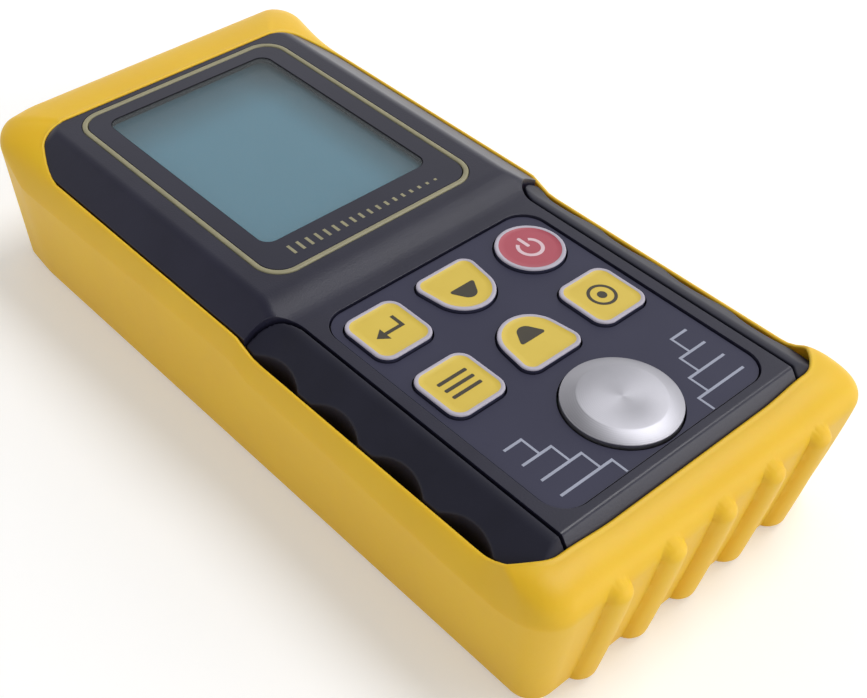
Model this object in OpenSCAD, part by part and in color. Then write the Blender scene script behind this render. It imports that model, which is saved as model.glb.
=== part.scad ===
// Handheld ultrasonic thickness gauge lying on its back in a soft protective boot.
// X is the width, Y runs from the calibration disc to the probe sockets, Z comes out of the face.
// The origin is the middle of the boot's underside.

/* [Housing] */
// Width of the housing at its parting line
housing_w = 71.2; // [68:0.2:78]
// Length of the housing at its parting line
housing_len = 144.8; // [142:0.2:156]
// Height of the display face above the housing's back
housing_h = 28.6; // [27.6:0.1:32]
// Corner radius of the housing in plan
housing_r = 5.5; // [4.5:0.1:7]
// Thickness of the moulded walls
wall = 2.2; // [1.6:0.1:2.6]
// Height of the rear half
rear_h = 12.5; // [11.5:0.1:13.5]
// Draft of the rear half, on each side
rear_draft = 1.8; // [1:0.1:2.4]
// Rounding of the back's edge
back_edge = 3.0; // [2:0.1:3.6]
// Width of the sloping shoulder along the sides
shoulder_side = 6.3; // [5.6:0.1:7]
// Height of the shoulder along the sides
shoulder_drop = 3.9; // [3.4:0.1:4.4]
// Radius of the fold between the shoulder and the face
shoulder_fold = 4.0; // [2:0.1:5]
// Width of the sloping shoulder at the display end
shoulder_far = 4.5; // [4:0.1:5.4]
// Height of the shoulder at the display end
shoulder_far_drop = 4.9; // [4.6:0.1:5.6]
// Width of the sloping shoulder at the disc end
shoulder_near = 6.0; // [5:0.1:7]
// Height of the shoulder at the disc end
shoulder_near_drop = 8.2; // [7:0.1:9]

/* [Display] */
// Length of the window lens
lens_len = 64.1; // [60:0.1:66]
// Width of the window lens
lens_w = 50.3; // [47:0.1:52]
// Thickness of the window lens
lens_t = 1.2; // [1:0.1:1.5]
// Corner radius of the window lens
lens_r = 5.6; // [4:0.1:7]
// Land between the lens and the end of the face
lens_land = 1.3; // [0.6:0.1:2]
// Width of the trim line round the lens
trim_w = 1.0; // [0.6:0.1:1.4]
// How far the trim stands above the lens
trim_rise = 0.15; // [0.1:0.05:0.3]
// Ledge that carries the lens
lens_ledge = 2.3; // [1.8:0.1:2.6]
// Thickness of the display glass
glass_t = 2.8; // [2:0.1:3.2]

/* [Keypad] */
// Step from the display face down to the keypad face
face_step = 1.5; // [1:0.1:2]
// Length of the ramp between the lens and the keypad panel
ramp_len = 11.75; // [10:0.05:14]
// Width of the keypad panel
panel_w = 50; // [49:0.1:51]
// Thickness of the keypad panel
panel_t = 1.2; // [0.8:0.1:1.4]
// Corner radius of the keypad panel
panel_r = 5.0; // [3:0.1:7]
// How far the panel lies below the face around it
panel_sink = 0.4; // [0.2:0.05:0.5]
// Distance from the housing's end to the panel
panel_end = 6.85; // [6.6:0.05:7.4]
// Web of the housing under the panel
web_t = 0.8; // [0.6:0.1:1]
// Share of the panel's length from its upper edge to the first row of keys
first_share = 0.161; // [0.155:0.001:0.166]
// Share of the panel's length between the rows of keys
row_share = 0.304; // [0.29:0.001:0.308]
// Share of the panel's width between the columns of keys
column_share = 0.342; // [0.32:0.001:0.345]
// Share of the smaller pitch that a square key fills
key_share = 0.707; // [0.62:0.001:0.72]
// Corner radius of a square key
key_r = 2.8; // [2:0.1:3.6]
// How far a key stands above the panel
key_rise = 0.75; // [0.65:0.05:1.1]
// Travel of a key
key_travel = 0.5; // [0.3:0.05:0.6]
// Gap round a key
key_gap = 0.3; // [0.25:0.05:0.4]

/* [Calibration disc] */
// Diameter of the disc as a share of the panel's length
disc_share = 0.355; // [0.3:0.001:0.362]
// Share of the disc's diameter that its flat top takes
flat_share = 0.74; // [0.6:0.01:0.85]
// Thickness of the disc, its known test thickness
disc_t = 4.0; // [3.8:0.1:4.2]
// Height of the disc's flat above the panel
disc_rise = 1.7; // [1.2:0.1:2]
// Height of the disc's bevel
disc_bevel = 0.85; // [0.5:0.05:1]
// Gap round the disc
disc_gap = 0.3; // [0.2:0.05:0.4]

/* [Grips] */
// Half distance between the two grip grooves
groove_x = 27.5; // [27.3:0.1:28.5]
// Width of the groove beside a grip
groove_w = 0.5; // [0.3:0.05:0.7]
// Distance from the ramp's upper end down to the grips
grip_top = 3.9; // [3:0.1:5]
// Corner radius at the upper end of a grip
grip_r = 6.5; // [4:0.1:7]
// Height of the grips' floor above the parting line
grip_floor = 3.7; // [3:0.1:4.4]
// Height of a grip's sloping outside
grip_drop = 4.25; // [3.6:0.05:4.8]
// Finger hollows in each grip
hollow_count = 4; // [2:1:4]
// Distance from a grip's upper end to the first finger hollow
hollow_first = 8.4; // [7:0.1:9]
// Distance between finger hollows
hollow_pitch = 15.1; // [13:0.1:16]
// Radius of a finger hollow
hollow_r = 10; // [8:0.5:12]
// Depth of a finger hollow
hollow_depth = 1.9; // [1:0.1:2.2]

/* [Boot] */
// Thickness of the boot under the back
boot_floor = 3.0; // [2.4:0.1:4]
// Thickness of the side walls at the rim
boot_side = 3.7; // [3:0.1:5]
// Thickness of the side walls at the base
boot_side_base = 2.4; // [2.2:0.1:4]
// Thickness of the wall at the disc end, at the rim
boot_near = 4.7; // [4:0.1:7]
// Thickness of the wall at the disc end, at the base
boot_near_base = 3.0; // [2.6:0.1:4.5]
// Thickness of the wall at the socket end, at the rim
boot_far = 7.0; // [6:0.1:9]
// Thickness of the wall at the socket end, at the base
boot_far_base = 6.4; // [4:0.1:8]
// Gap between the boot and the housing
boot_gap = 0.3; // [0.25:0.05:0.5]
// Corner radius of the boot's rim in plan
boot_r = 6.0; // [4.5:0.5:9]
// Rounding of the boot's lower edge
boot_edge = 1.5; // [1:0.1:2.2]
// How far the rim draws in at the waist
boot_waist = 1.3; // [0:0.1:1.6]
// Lip of the boot round the opening in its back
boot_lip = 9; // [6:0.5:10]
// Drop from the rim's inner edge to its outer edge at the ends
rim_drop = 2.6; // [1.5:0.1:3]
// Drop from the rim's inner edge to its outer edge along the sides
rim_side_drop = 4.8; // [3:0.1:5.4]
// Ribs on the wall at the disc end
rib_count = 5; // [3:1:5]
// Distance between ribs
rib_pitch = 12.15; // [10:0.05:12.6]
// Width of a rib
rib_w = 5.4; // [4:0.1:6]
// Height of a rib
rib_h = 1.9; // [0.8:0.1:2.2]

/* [Probe sockets] */
// Distance between the sockets
socket_pitch = 22; // [14:0.5:24]
// Bore of a socket
socket_bore = 5.0; // [4.6:0.1:5.4]
// Clear depth of a socket
socket_depth = 6.6; // [6:0.1:7]
// Outer diameter of a socket's barrel
socket_d = 7.0; // [6.6:0.1:7.6]
// Diameter of a socket's flange
socket_flange_d = 8.8; // [8.4:0.1:10]
// Height of the sockets' axis above the parting line
socket_up = 4.9; // [4.8:0.1:5.6]
// Width of the opening in the boot
port_w = 38; // [36:0.5:42]
// Height of the opening in the boot
port_h = 12.5; // [11.5:0.1:13.5]

/* [Batteries] */
// Diameter of a cell
cell_d = 10.4; // [10:0.1:10.5]
// Length of a cell with its contact
cell_len = 44.5; // [43:0.1:45]
// Cells side by side
cell_count = 4; // [2:1:4]
// Distance from the housing's end to the battery bay
bay_end = 21.2; // [20:0.2:24]
// Thickness of the battery door
door_t = 2.0; // [1.6:0.1:2.2]

/* [Hidden] */
$fn = 64;

// Clearances
fit_gap = 0.15;
cut = 1;

// Heights
back_z = boot_floor + boot_gap;
parting_z = back_z + rear_h;
face_z = back_z + housing_h;
shoulder_z = face_z - shoulder_drop;
key_face_z = face_z - face_step;
panel_z = key_face_z - panel_sink;
key_ceiling_z = panel_z - panel_t - web_t;
lens_z = face_z - lens_t;
glass_z = lens_z - 0.2;
board_t = 1.6;
holder_t = 3.2;
board_z = glass_z - glass_t - holder_t;
grip_z = parting_z + grip_floor;
shelf_z = shoulder_z - 1;

// Plan of the housing and the boot, centred on the boot
housing_y = (boot_near + rib_h - boot_far) / 2;
near_y = housing_y - housing_len / 2;
far_y = housing_y + housing_len / 2;
half_w = housing_w / 2;

// Places on the face
lens_y = far_y - shoulder_far - lens_land - lens_len / 2;
ramp_top_y = lens_y - lens_len / 2 - 1;
panel_top_y = lens_y - lens_len / 2 - ramp_len;
panel_len = panel_top_y - near_y - panel_end;
panel_y = panel_top_y - panel_len / 2;
row_pitch = row_share * panel_len;
column_pitch = column_share * panel_w;
key_w = key_share * min(row_pitch, column_pitch);
row_y = [panel_top_y - first_share * panel_len, panel_top_y - first_share * panel_len - row_pitch];
disc_d = disc_share * panel_len;
disc_flat_d = flat_share * disc_d;
disc_y = panel_y - panel_len / 2 + disc_d / 2 + disc_gap + 0.4;
grip_y = ramp_top_y - grip_top;

function mix(a, b, t) = a + (b - a) * t;
function clamp(t) = min(max(t, 0), 1);
function smooth(a, b, v) = let (t = clamp((v - a) / (b - a))) t * t * (3 - 2 * t);

// Side shoulder from its lower edge over a rounded fold to the flat: distance in, height
function slope(run, drop) =
    let (a = atan2(drop, run), t = shoulder_fold * tan(a / 2))
    concat([[0, 0]], [for (k = [1, 0.5, 0])
        [run + t - shoulder_fold * sin(k * a), drop - shoulder_fold * (1 - cos(k * a))]]);
SIDE = slope(shoulder_side, shoulder_drop);
near_foot_z = face_z - shoulder_near_drop;
far_foot_z = face_z - shoulder_far_drop;
function side_inset(z) = lookup(z - shoulder_z, [for (s = SIDE) [s[1], s[0]]]);
function near_inset(z) = shoulder_near * clamp(1 - (face_z - z) / shoulder_near_drop);
function far_inset(z) = shoulder_far * clamp(1 - (face_z - z) / shoulder_far_drop);

// A plan section: height, half width, near end, far end, corner radius
corner_share = 0.45;
corner_min = 2.2;
function section(z, side, near, far) =
    [z, half_w - side, near_y + near, far_y - far, max(housing_r - corner_share * side, corner_min)];
rear_levels = [
    section(back_z, rear_draft + back_edge, rear_draft + back_edge, rear_draft + back_edge),
    section(back_z + 0.3 * back_edge, rear_draft + 0.3 * back_edge, rear_draft + 0.3 * back_edge,
            rear_draft + 0.3 * back_edge),
    section(back_z + back_edge, rear_draft, rear_draft, rear_draft),
    section(parting_z, 0, 0, 0)
];
front_levels = concat(
    [section(parting_z, 0, 0, 0)],
    [for (z = concat([near_foot_z, far_foot_z], [for (s = SIDE) shoulder_z + s[1]]))
        section(z, side_inset(z), near_inset(z), far_inset(z))]
);
levels = concat(rear_levels, [for (i = [1 : len(front_levels) - 1]) front_levels[i]]);
function level_at(z, column) = lookup(z, [for (l = levels) [l[0], l[column]]]);

// Steps across the disc end, set so that each rib has a point at its feet and its crest
rib_mid = (rib_count - 1) / 2;
rib_span = rib_mid * rib_pitch + rib_w / 2 + 1;
RIB_X = [for (i = [0 : rib_count - 1], u = [-1, -0.85, -0.5, 0, 0.5, 0.85, 1])
    (i - rib_mid) * rib_pitch + u * rib_w / 2];
function near_x(j, half) = j == 0 ? -half : RIB_X[j - 1] * min(1, half / rib_span);

// Steps along the near end, each corner, each side and the far end of an outline
PLAIN = [1, 8, 1, 1];
BOOT = [len(RIB_X) + 1, 8, 16, 4];
function stations(n) = n[0] + 4 * n[1] + 2 * n[2] + n[3];

// Point j of a rounded rectangle, counted from the near left corner towards the right
function arc_point(x, y, r, a) = [x + r * cos(a), y + r * sin(a)];
function station(j, n, hw, y0, y1, r) =
    let (a = n[0], b = a + n[1], c = b + n[2], d = c + n[1], e = d + n[3], f = e + n[1], g = f + n[2])
    j < a ? [near_x(j, hw - r), y0] :
    j < b ? arc_point(hw - r, y0 + r, r, -90 + 90 * (j - a) / n[1]) :
    j < c ? [hw, mix(y0 + r, y1 - r, (j - b) / n[2])] :
    j < d ? arc_point(hw - r, y1 - r, r, 90 * (j - c) / n[1]) :
    j < e ? [mix(hw - r, r - hw, (j - d) / n[3]), y1] :
    j < f ? arc_point(r - hw, y1 - r, r, 90 + 90 * (j - e) / n[1]) :
    j < g ? [-hw, mix(y1 - r, y0 + r, (j - f) / n[2])] :
            arc_point(r - hw, y0 + r, r, 180 + 90 * (j - g) / n[1]);

// Point j of the housing's surface at height z, moved out by grow
function housing_point(j, n, z, grow) =
    let (p = station(j, n, level_at(z, 1) + grow, level_at(z, 2) - grow, level_at(z, 3) + grow,
                     level_at(z, 4) + grow))
    [p[0], p[1], z];

// Skin over a stack of rings with the same number of points; a closed stack joins its last ring to its first
module loft(rings, closed = false) {
    n = len(rings[0]);
    count = len(rings);
    last = closed ? count : count - 1;
    sides = [
        for (i = [0 : last - 1], j = [0 : n - 1])
            let (a = i * n, b = ((i + 1) % count) * n, k = (j + 1) % n)
            each [[a + j, b + k, a + k], [a + j, b + j, b + k]]
    ];
    caps = closed ? [] : [[for (j = [0 : n - 1]) j], [for (j = [n - 1 : -1 : 0]) (count - 1) * n + j]];
    polyhedron(points = [for (r = rings) each r], faces = concat(sides, caps), convexity = 6);
}

module housing_form(stack) {
    n = stations(PLAIN);
    loft([for (l = stack) [for (j = [0 : n - 1]) housing_point(j, PLAIN, l[0], 0)]]);
}

module rounded_rect(w, l, r) {
    square([w - 2 * r, l], center = true);
    square([w, l - 2 * r], center = true);
    for (x = [-1, 1], y = [-1, 1]) translate([x * (w / 2 - r), y * (l / 2 - r)]) circle(r);
}

module slab(w, l, r, z0, z1) {
    translate([0, 0, z0]) linear_extrude(z1 - z0) rounded_rect(w, l, r);
}

module block(x0, x1, y0, y1, z0, z1) {
    translate([x0, y0, z0]) cube([x1 - x0, y1 - y0, z1 - z0]);
}

module post(x, y, r, z0, z1) {
    translate([x, y, z0]) cylinder(r = r, h = z1 - z0);
}

module both_sides() {
    children();
    mirror([1, 0, 0]) children();
}

// The keys: kind, column, row, point of the shield
KEYS = [["square", -1, 0, 0], ["shield", 0, 0, -1], ["round", 1, 0, 0],
        ["square", -1, 1, 0], ["shield", 0, 1, 1], ["square", 1, 1, 0]];
shield_corner = 2.4;
module key_outline(key, grow = 0) {
    if (key[0] == "square") rounded_rect(key_w + 2 * grow, key_w + 2 * grow, key_r + grow);
    if (key[0] == "round") circle(key_w / 2 + 0.4 + grow);
    if (key[0] == "shield") hull() {
        circle(key_w / 2 + grow, $fn = 48);
        for (x = [-1, 1])
            translate([x * (key_w / 2 + 0.55 - shield_corner), -key[3] * (key_w / 2 - shield_corner)])
                circle(shield_corner + grow, $fn = 32);
    }
}
module at_key(key) {
    translate([key[1] * column_pitch, row_y[key[2]], 0]) children();
}

// Screw places
near_post = near_inset(key_ceiling_z) + 4.05;
board_post = 6.4;
far_post = 11.4;
post_r = 3.4;
board_post_r = 2.4;
post_merge = 0.8;
housing_screws_at = [[groove_x - wall - post_r + post_merge, near_y + near_post],
                     [half_w - wall - 5.4, far_y - far_post]];
board_screws_at = [[groove_x - 6, disc_y + board_post], [groove_x - 6, panel_top_y + 6.2]];
screw_seat_z = back_z + 4.7;
screw_top_z = parting_z + 8;
screw_r = 1.45;
screw_head_r = 2.7;
screw_head_t = 1.8;
board_screw_r = 1;
board_head_r = 2;
board_head_t = 1.2;
door_screw_r = 1;
door_head_r = 2.4;
door_head_t = 0.9;

// Sockets
socket_z = parting_z + socket_up;
socket_tail = 0.4 * socket_bore;
nut_t = 0.4 * socket_bore;
nut_flats = 1.8 * socket_bore;
flange_t = 0.3 * socket_bore;
socket_wall = wall + 0.2;
core_d = 0.66 * socket_bore;
core_tail = 0.3 * socket_bore;
pin_d = 0.18 * socket_bore;

// Batteries
bay_gap = 0.2;
contact_t = 2.4;
bay_w = cell_count * cell_d + 2 * bay_gap + (cell_count - 1) * bay_gap;
bay_len = cell_len + 2 * contact_t + 2 * bay_gap;
bay_y0 = near_y + bay_end;
bay_y1 = bay_y0 + bay_len;
bay_z0 = back_z + door_t;
bay_z1 = bay_z0 + cell_d + 2 * bay_gap;
bay_wall = 1.4;
door_lap = 1.2;
door_tail = 8.5;
door_y0 = bay_y0 - door_tail;
door_y1 = bay_y1 + door_lap;
door_w = bay_w + 2 * door_lap;
door_screw_y = bay_y0 - door_tail / 2;
cell_z = bay_z0 + bay_gap + cell_d / 2;
nub = 1;
nub_d = 3.8;

// Soft boot: one skin that runs from the opening in the back up the outside, over the rim and down the inside
rim_far_z = face_z + 0.3;
rim_side_z = shoulder_z;
rim_grip_z = key_face_z - grip_drop - 0.15;
rim_near_z = shoulder_z + 0.4;
rim_lift = 0.5;
rim_start = 0.5;
rim_corner = 10.5;
rim_far_corner = 16;
rim_dip = 6;
rib_top_z = rim_near_z - 1;
function rim_z(x, y) =
    mix(rim_near_z + rim_lift * smooth(half_w / 2, half_w - housing_r, abs(x)), rim_grip_z,
        smooth(near_y + rim_start, near_y + rim_start + rim_corner, y))
    + (rim_side_z - rim_grip_z) * smooth(grip_y - rim_dip + 1, grip_y + 1, y)
    + (rim_far_z - rim_side_z) * pow(clamp((y - far_y) / rim_far_corner + 1), 1.5);

// Section of the rim: 0 at the ends, where it is broad and round, 1 along the sides, where it slopes
function thin(y) =
    smooth(near_y + rim_start, near_y + rim_start + rim_corner, y)
    * (1 - smooth(far_y - rim_far_corner, far_y - 2, y));
function rim_fall(y) = mix(rim_drop, rim_side_drop, thin(y));
function rim_bend(y) = mix(2.3, 1.45, thin(y));

function waist(y) = boot_waist * 0.5 * (1 + cos(360 * clamp((y - near_y) / housing_len) - 180));
function rib_bump(x) =
    let (i = min(max(round(x / rib_pitch + rib_mid), 0), rib_count - 1),
         u = (x - (i - rib_mid) * rib_pitch) / (rib_w / 2))
    abs(u) < 1 ? rib_h * sqrt(1 - u * u) : 0;
function rib_end(z) =
    let (u = clamp((z - rib_top_z + rib_w / 2) / (rib_w / 2))) sqrt(1 - u * u);
function rib(j, x, z) = j < BOOT[0] ? rib_bump(x) * rib_end(z) : 0;

// Outer surface of the boot: t runs from the base to the rim, inset draws it in at the lower edge
function boot_outer(j, t, z, inset, rib_share) =
    let (side = mix(boot_side_base - rear_draft, boot_side, t),
         near = mix(boot_near_base - rear_draft, boot_near, t),
         far = mix(boot_far_base - rear_draft, boot_far, t),
         r = mix(boot_r - 1.5, boot_r, t),
         p = station(j, BOOT, half_w + side - inset, near_y - near + inset, far_y + far - inset, r - inset),
         x = p[0] * (1 - t * waist(p[1]) / half_w))
    [x, p[1] - rib_share * rib(j, p[0], z), z];

function boot_window(j, z) =
    let (p = station(j, BOOT, half_w - boot_lip, near_y + boot_lip, far_y - boot_lip, housing_r))
    [p[0], p[1], z];

function boot_rings() =
    let (n = stations(BOOT), all = [0 : n - 1],
         places = [for (j = all) housing_point(j, BOOT, parting_z, 0)],
         rims = [for (p = places) rim_z(p[0], p[1])],
         falls = [for (p = places) rim_fall(p[1])],
         bends = [for (p = places) 2 / rim_bend(p[1])])
    concat(
        [[for (j = all) boot_window(j, 0)]],
        [for (a = [0, 45])
            [for (j = all)
                boot_outer(j, 0, boot_edge * (1 - cos(a)), boot_edge * (1 - sin(a)),
                           0.6 + 0.3 * sin(2 * a))]],
        [for (t = [0, 0.35, 0.7, 0.9, 0.95, 1])
            [for (j = all) boot_outer(j, t, mix(boot_edge, rims[j] - falls[j], t), 0, 1)]],
        [for (a = [14, 28, 45, 62, 78, 90])
            [for (j = all)
                let (e = boot_outer(j, 1, rims[j] - falls[j], 0, 0),
                     i = housing_point(j, BOOT, rims[j], boot_gap),
                     c = pow(max(cos(a), 0), bends[j]), z = e[2] + falls[j] * pow(sin(a), bends[j]),
                     x = mix(i[0], e[0], c))
                [x, mix(i[1], e[1], c) - rib(j, x, z), z]]],
        [for (g = [0.86, 0.66, 0.33, 0])
            [for (j = all)
                housing_point(j, BOOT, mix(min(shoulder_z, rims[j] - 0.4), rims[j], g), boot_gap)]],
        [for (d = [[far_foot_z, 0.8], [near_foot_z, 1.2]])
            [for (j = all) housing_point(j, BOOT, min(d[0], rims[j] - d[1]), boot_gap)]],
        [for (z = [parting_z, back_z + back_edge, back_z + 0.3 * back_edge])
            [for (j = all) housing_point(j, BOOT, z, boot_gap)]],
        [[for (j = all) let (p = housing_point(j, BOOT, back_z, boot_gap)) [p[0], p[1], boot_floor]]],
        [[for (j = all) boot_window(j, boot_floor)]]
    );

module boot() {
    color("gold") difference() {
        loft(boot_rings(), closed = true);
        translate([0, far_y - 2 * cut, socket_z]) rotate([-90, 0, 0])
            linear_extrude(boot_far + 3 * cut) rounded_rect(port_w, port_h, port_h / 2 - 0.1);
    }
}

// Removes the front above the keypad face, with a smooth ramp up to the display face
module keypad_step() {
    steps = 8;
    ramp = [for (i = [0 : steps]) [mix(ramp_top_y, panel_top_y + 1.2, i / steps),
                                   face_z - face_step * smooth(0, 1, i / steps)]];
    translate([-half_w - cut, 0, 0]) rotate([90, 0, 90]) linear_extrude(housing_w + 2 * cut)
        polygon(concat(ramp, [[near_y - cut, key_face_z], [near_y - cut, face_z + cut],
                              [ramp_top_y, face_z + cut]]));
}

// Plan of a grip and of the recess that it lies in
module grip_plan(gap) {
    x0 = groove_x + gap;
    y1 = grip_y - gap;
    difference() {
        translate([x0, near_y - cut]) square([half_w - x0 + cut, y1 - near_y + cut]);
        translate([x0, y1 - grip_r]) square(grip_r);
    }
    translate([x0 + grip_r, y1 - grip_r]) circle(grip_r);
}

module front_cavity() {
    x_key = groove_x - wall;
    block(-x_key, x_key, near_y + near_inset(key_ceiling_z) + wall, ramp_top_y,
          parting_z - cut, key_ceiling_z);
    x_show = level_at(shelf_z, 1) - wall;
    block(-x_show, x_show, grip_y + wall, far_y - socket_wall, parting_z - cut, shelf_z);
}

module front_housing() {
    color("darkslategray") {
        difference() {
            housing_form(front_levels);
            keypad_step();
            both_sides() translate([0, 0, grip_z]) linear_extrude(housing_h) grip_plan(0);
            front_cavity();
            translate([0, lens_y, 0])
                slab(lens_w + 2 * fit_gap, lens_len + 2 * fit_gap, lens_r, lens_z, face_z + cut);
            translate([0, lens_y, 0]) slab(lens_w - 2 * lens_ledge, lens_len - 2 * lens_ledge,
                                           show_r + fit_gap, shelf_z - cut, face_z + cut);
            translate([0, panel_y, 0]) slab(panel_w + 2 * fit_gap, panel_len + 2 * fit_gap, panel_r,
                                            panel_z - panel_t, face_z + cut);
            for (k = KEYS) at_key(k) translate([0, 0, key_ceiling_z - cut]) linear_extrude(face_z)
                key_outline(k, key_gap);
            post(0, disc_y, disc_d / 2 + disc_gap, panel_z + disc_rise - disc_t, face_z);
            for (x = [-1, 1]) translate([x * socket_pitch / 2, far_y - socket_wall - cut, socket_z])
                rotate([-90, 0, 0]) cylinder(d = socket_d + 2 * fit_gap, h = socket_wall + 2 * cut);
        }
        difference() {
            post(0, disc_y, disc_d / 2 + wall, panel_z + disc_rise - disc_t - wall / 2,
                 key_ceiling_z + web_t);
            post(0, disc_y, disc_d / 2 + disc_gap, panel_z + disc_rise - disc_t, face_z);
        }
        both_sides() {
            for (p = housing_screws_at) difference() {
                post(p[0], p[1], post_r, parting_z, key_ceiling_z);
                post(p[0], p[1], screw_r + fit_gap, parting_z - cut, screw_top_z + 0.5);
            }
            for (p = board_screws_at) difference() {
                post(p[0], p[1], board_post_r, board_z, key_ceiling_z + web_t);
                post(p[0], p[1], board_screw_r + fit_gap, board_z - cut, key_ceiling_z - 0.5);
            }
        }
    }
}

module rear_housing() {
    color("darkslategray") difference() {
        union() {
            difference() {
                housing_form(rear_levels);
                block(wall + rear_draft - half_w, half_w - wall - rear_draft, near_y + wall + rear_draft,
                      far_y - wall - rear_draft, back_z + wall, parting_z + cut);
            }
            block(-bay_w / 2 - bay_wall, bay_w / 2 + bay_wall, door_y0 - bay_wall, bay_y1 + bay_wall,
                  back_z + wall / 2, bay_z1 + bay_wall);
            both_sides() for (p = housing_screws_at)
                post(p[0], p[1], post_r + 0.8, back_z + wall / 2, parting_z);
        }
        block(-bay_w / 2, bay_w / 2, bay_y0, bay_y1, back_z - cut, bay_z1);
        block(-door_w / 2 - fit_gap, door_w / 2 + fit_gap, door_y0 - fit_gap, door_y1 + fit_gap,
              back_z - cut, bay_z0);
        post(0, door_screw_y, door_screw_r + 0.2, back_z, bay_z0 + 6.5);
        both_sides() for (p = housing_screws_at) {
            post(p[0], p[1], screw_head_r + 2 * fit_gap, back_z - cut, screw_seat_z);
            post(p[0], p[1], screw_r + 0.25, back_z, parting_z + cut);
        }
    }
}

// Rubber insert at the side, lower than the shoulder, with finger hollows along its outside
module grip() {
    top_z = key_face_z - 0.05;
    edge_z = top_z - grip_drop;
    profile = slope(shoulder_side, grip_drop);
    intersection() {
        housing_form(front_levels);
        translate([0, 0, grip_z]) linear_extrude(housing_h) difference() {
            grip_plan(groove_w);
            for (i = [0 : hollow_count - 1])
                translate([half_w + hollow_r - hollow_depth, grip_y - hollow_first - i * hollow_pitch])
                    circle(hollow_r);
        }
        translate([0, far_y, 0]) rotate([90, 0, 0]) linear_extrude(housing_len + cut)
            polygon(concat([[groove_x, grip_z - cut], [groove_x, top_z]],
                           [for (i = [3, 2, 1]) [half_w - profile[i][0], edge_z + profile[i][1]]],
                           [[half_w + fit_gap, edge_z - fit_gap * grip_drop / shoulder_side],
                            [half_w + fit_gap, grip_z - cut]]));
    }
}
module left_grip() { color("dimgray") mirror([1, 0, 0]) grip(); }
module right_grip() { color("dimgray") grip(); }

module window_lens() {
    color("midnightblue") translate([0, lens_y, 0])
        slab(lens_w - 2 * trim_w - 2 * fit_gap, lens_len - 2 * trim_w - 2 * fit_gap, lens_r - trim_w,
             lens_z, face_z);
}

module window_trim() {
    color("darkkhaki") translate([0, lens_y, 0]) difference() {
        slab(lens_w, lens_len, lens_r, lens_z, face_z + trim_rise);
        slab(lens_w - 2 * trim_w, lens_len - 2 * trim_w, lens_r - trim_w, lens_z - cut, face_z + cut);
    }
}

// Display stack under the lens, all from the opening in the ledge
show_w = lens_w - 2 * lens_ledge - 2 * fit_gap;
show_len = lens_len - 2 * lens_ledge - 2 * fit_gap;
show_r = 1.5;
module display_glass() {
    color("slategray") translate([0, lens_y, 0]) slab(show_w, show_len, show_r, glass_z - glass_t, glass_z);
}

holder_rim = 1.2;
module display_backlight() {
    color("white") translate([0, lens_y, 0])
        slab(show_w - 2 * holder_rim - 2 * fit_gap, show_len - 2 * holder_rim - 2 * fit_gap, 1,
             board_z + 1, glass_z - glass_t);
}

module display_holder() {
    color("lightgray") translate([0, lens_y, 0]) difference() {
        slab(show_w, show_len, show_r, board_z, glass_z - glass_t);
        slab(show_w - 2 * holder_rim, show_len - 2 * holder_rim, 1, board_z + 1, glass_z);
    }
}

module keypad_panel() {
    color("darkslateblue") difference() {
        translate([0, panel_y, 0]) slab(panel_w, panel_len, panel_r, panel_z - panel_t, panel_z);
        for (k = KEYS) at_key(k) translate([0, 0, panel_z - 2 * panel_t]) linear_extrude(3 * panel_t)
            key_outline(k, key_gap);
        post(0, disc_y, disc_d / 2 + disc_gap, panel_z - 2 * panel_t, panel_z + panel_t);
    }
}

// A key: cap with a bevelled edge, a flange that stops it under the web, and a stem over its dome
key_flange = 0.8;
key_flange_t = 0.8;
key_stop = 0.1;
key_bevel = 0.35;
dome_h = 0.9;
module key(k) {
    flange_z = key_ceiling_z - key_stop;
    at_key(k) {
        hull() {
            translate([0, 0, flange_z - key_flange_t])
                linear_extrude(panel_z + key_rise - key_bevel - flange_z + key_flange_t) key_outline(k);
            translate([0, 0, panel_z + key_rise - key_bevel]) linear_extrude(key_bevel)
                key_outline(k, -key_bevel);
        }
        translate([0, 0, flange_z - key_flange_t]) linear_extrude(key_flange_t) key_outline(k, key_flange);
        post(0, 0, 2, board_z + dome_h + key_travel + fit_gap, flange_z);
    }
}
module enter_key() { color("goldenrod") key(KEYS[0]); }
module down_key() { color("goldenrod") key(KEYS[1]); }
module power_key() { color("indianred") key(KEYS[2]); }
module memory_key() { color("goldenrod") key(KEYS[3]); }
module up_key() { color("goldenrod") key(KEYS[4]); }
module calibration_key() { color("goldenrod") key(KEYS[5]); }

module key_domes() {
    dome_r = 3.2;
    color("silver") for (k = KEYS) at_key(k) translate([0, 0, board_z]) {
        cylinder(r = dome_r, h = dome_h / 2);
        cylinder(r1 = dome_r, r2 = dome_r / 2, h = dome_h);
    }
}

// Turned steel test disc with a bevelled rim
module calibration_disc() {
    top_z = panel_z + disc_rise;
    color("silver") translate([0, disc_y, 0]) rotate_extrude()
        polygon([[0, top_z - disc_t], [disc_d / 2, top_z - disc_t], [disc_d / 2, top_z - disc_bevel],
                 [disc_flat_d / 2, top_z], [0, top_z]]);
}

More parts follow.
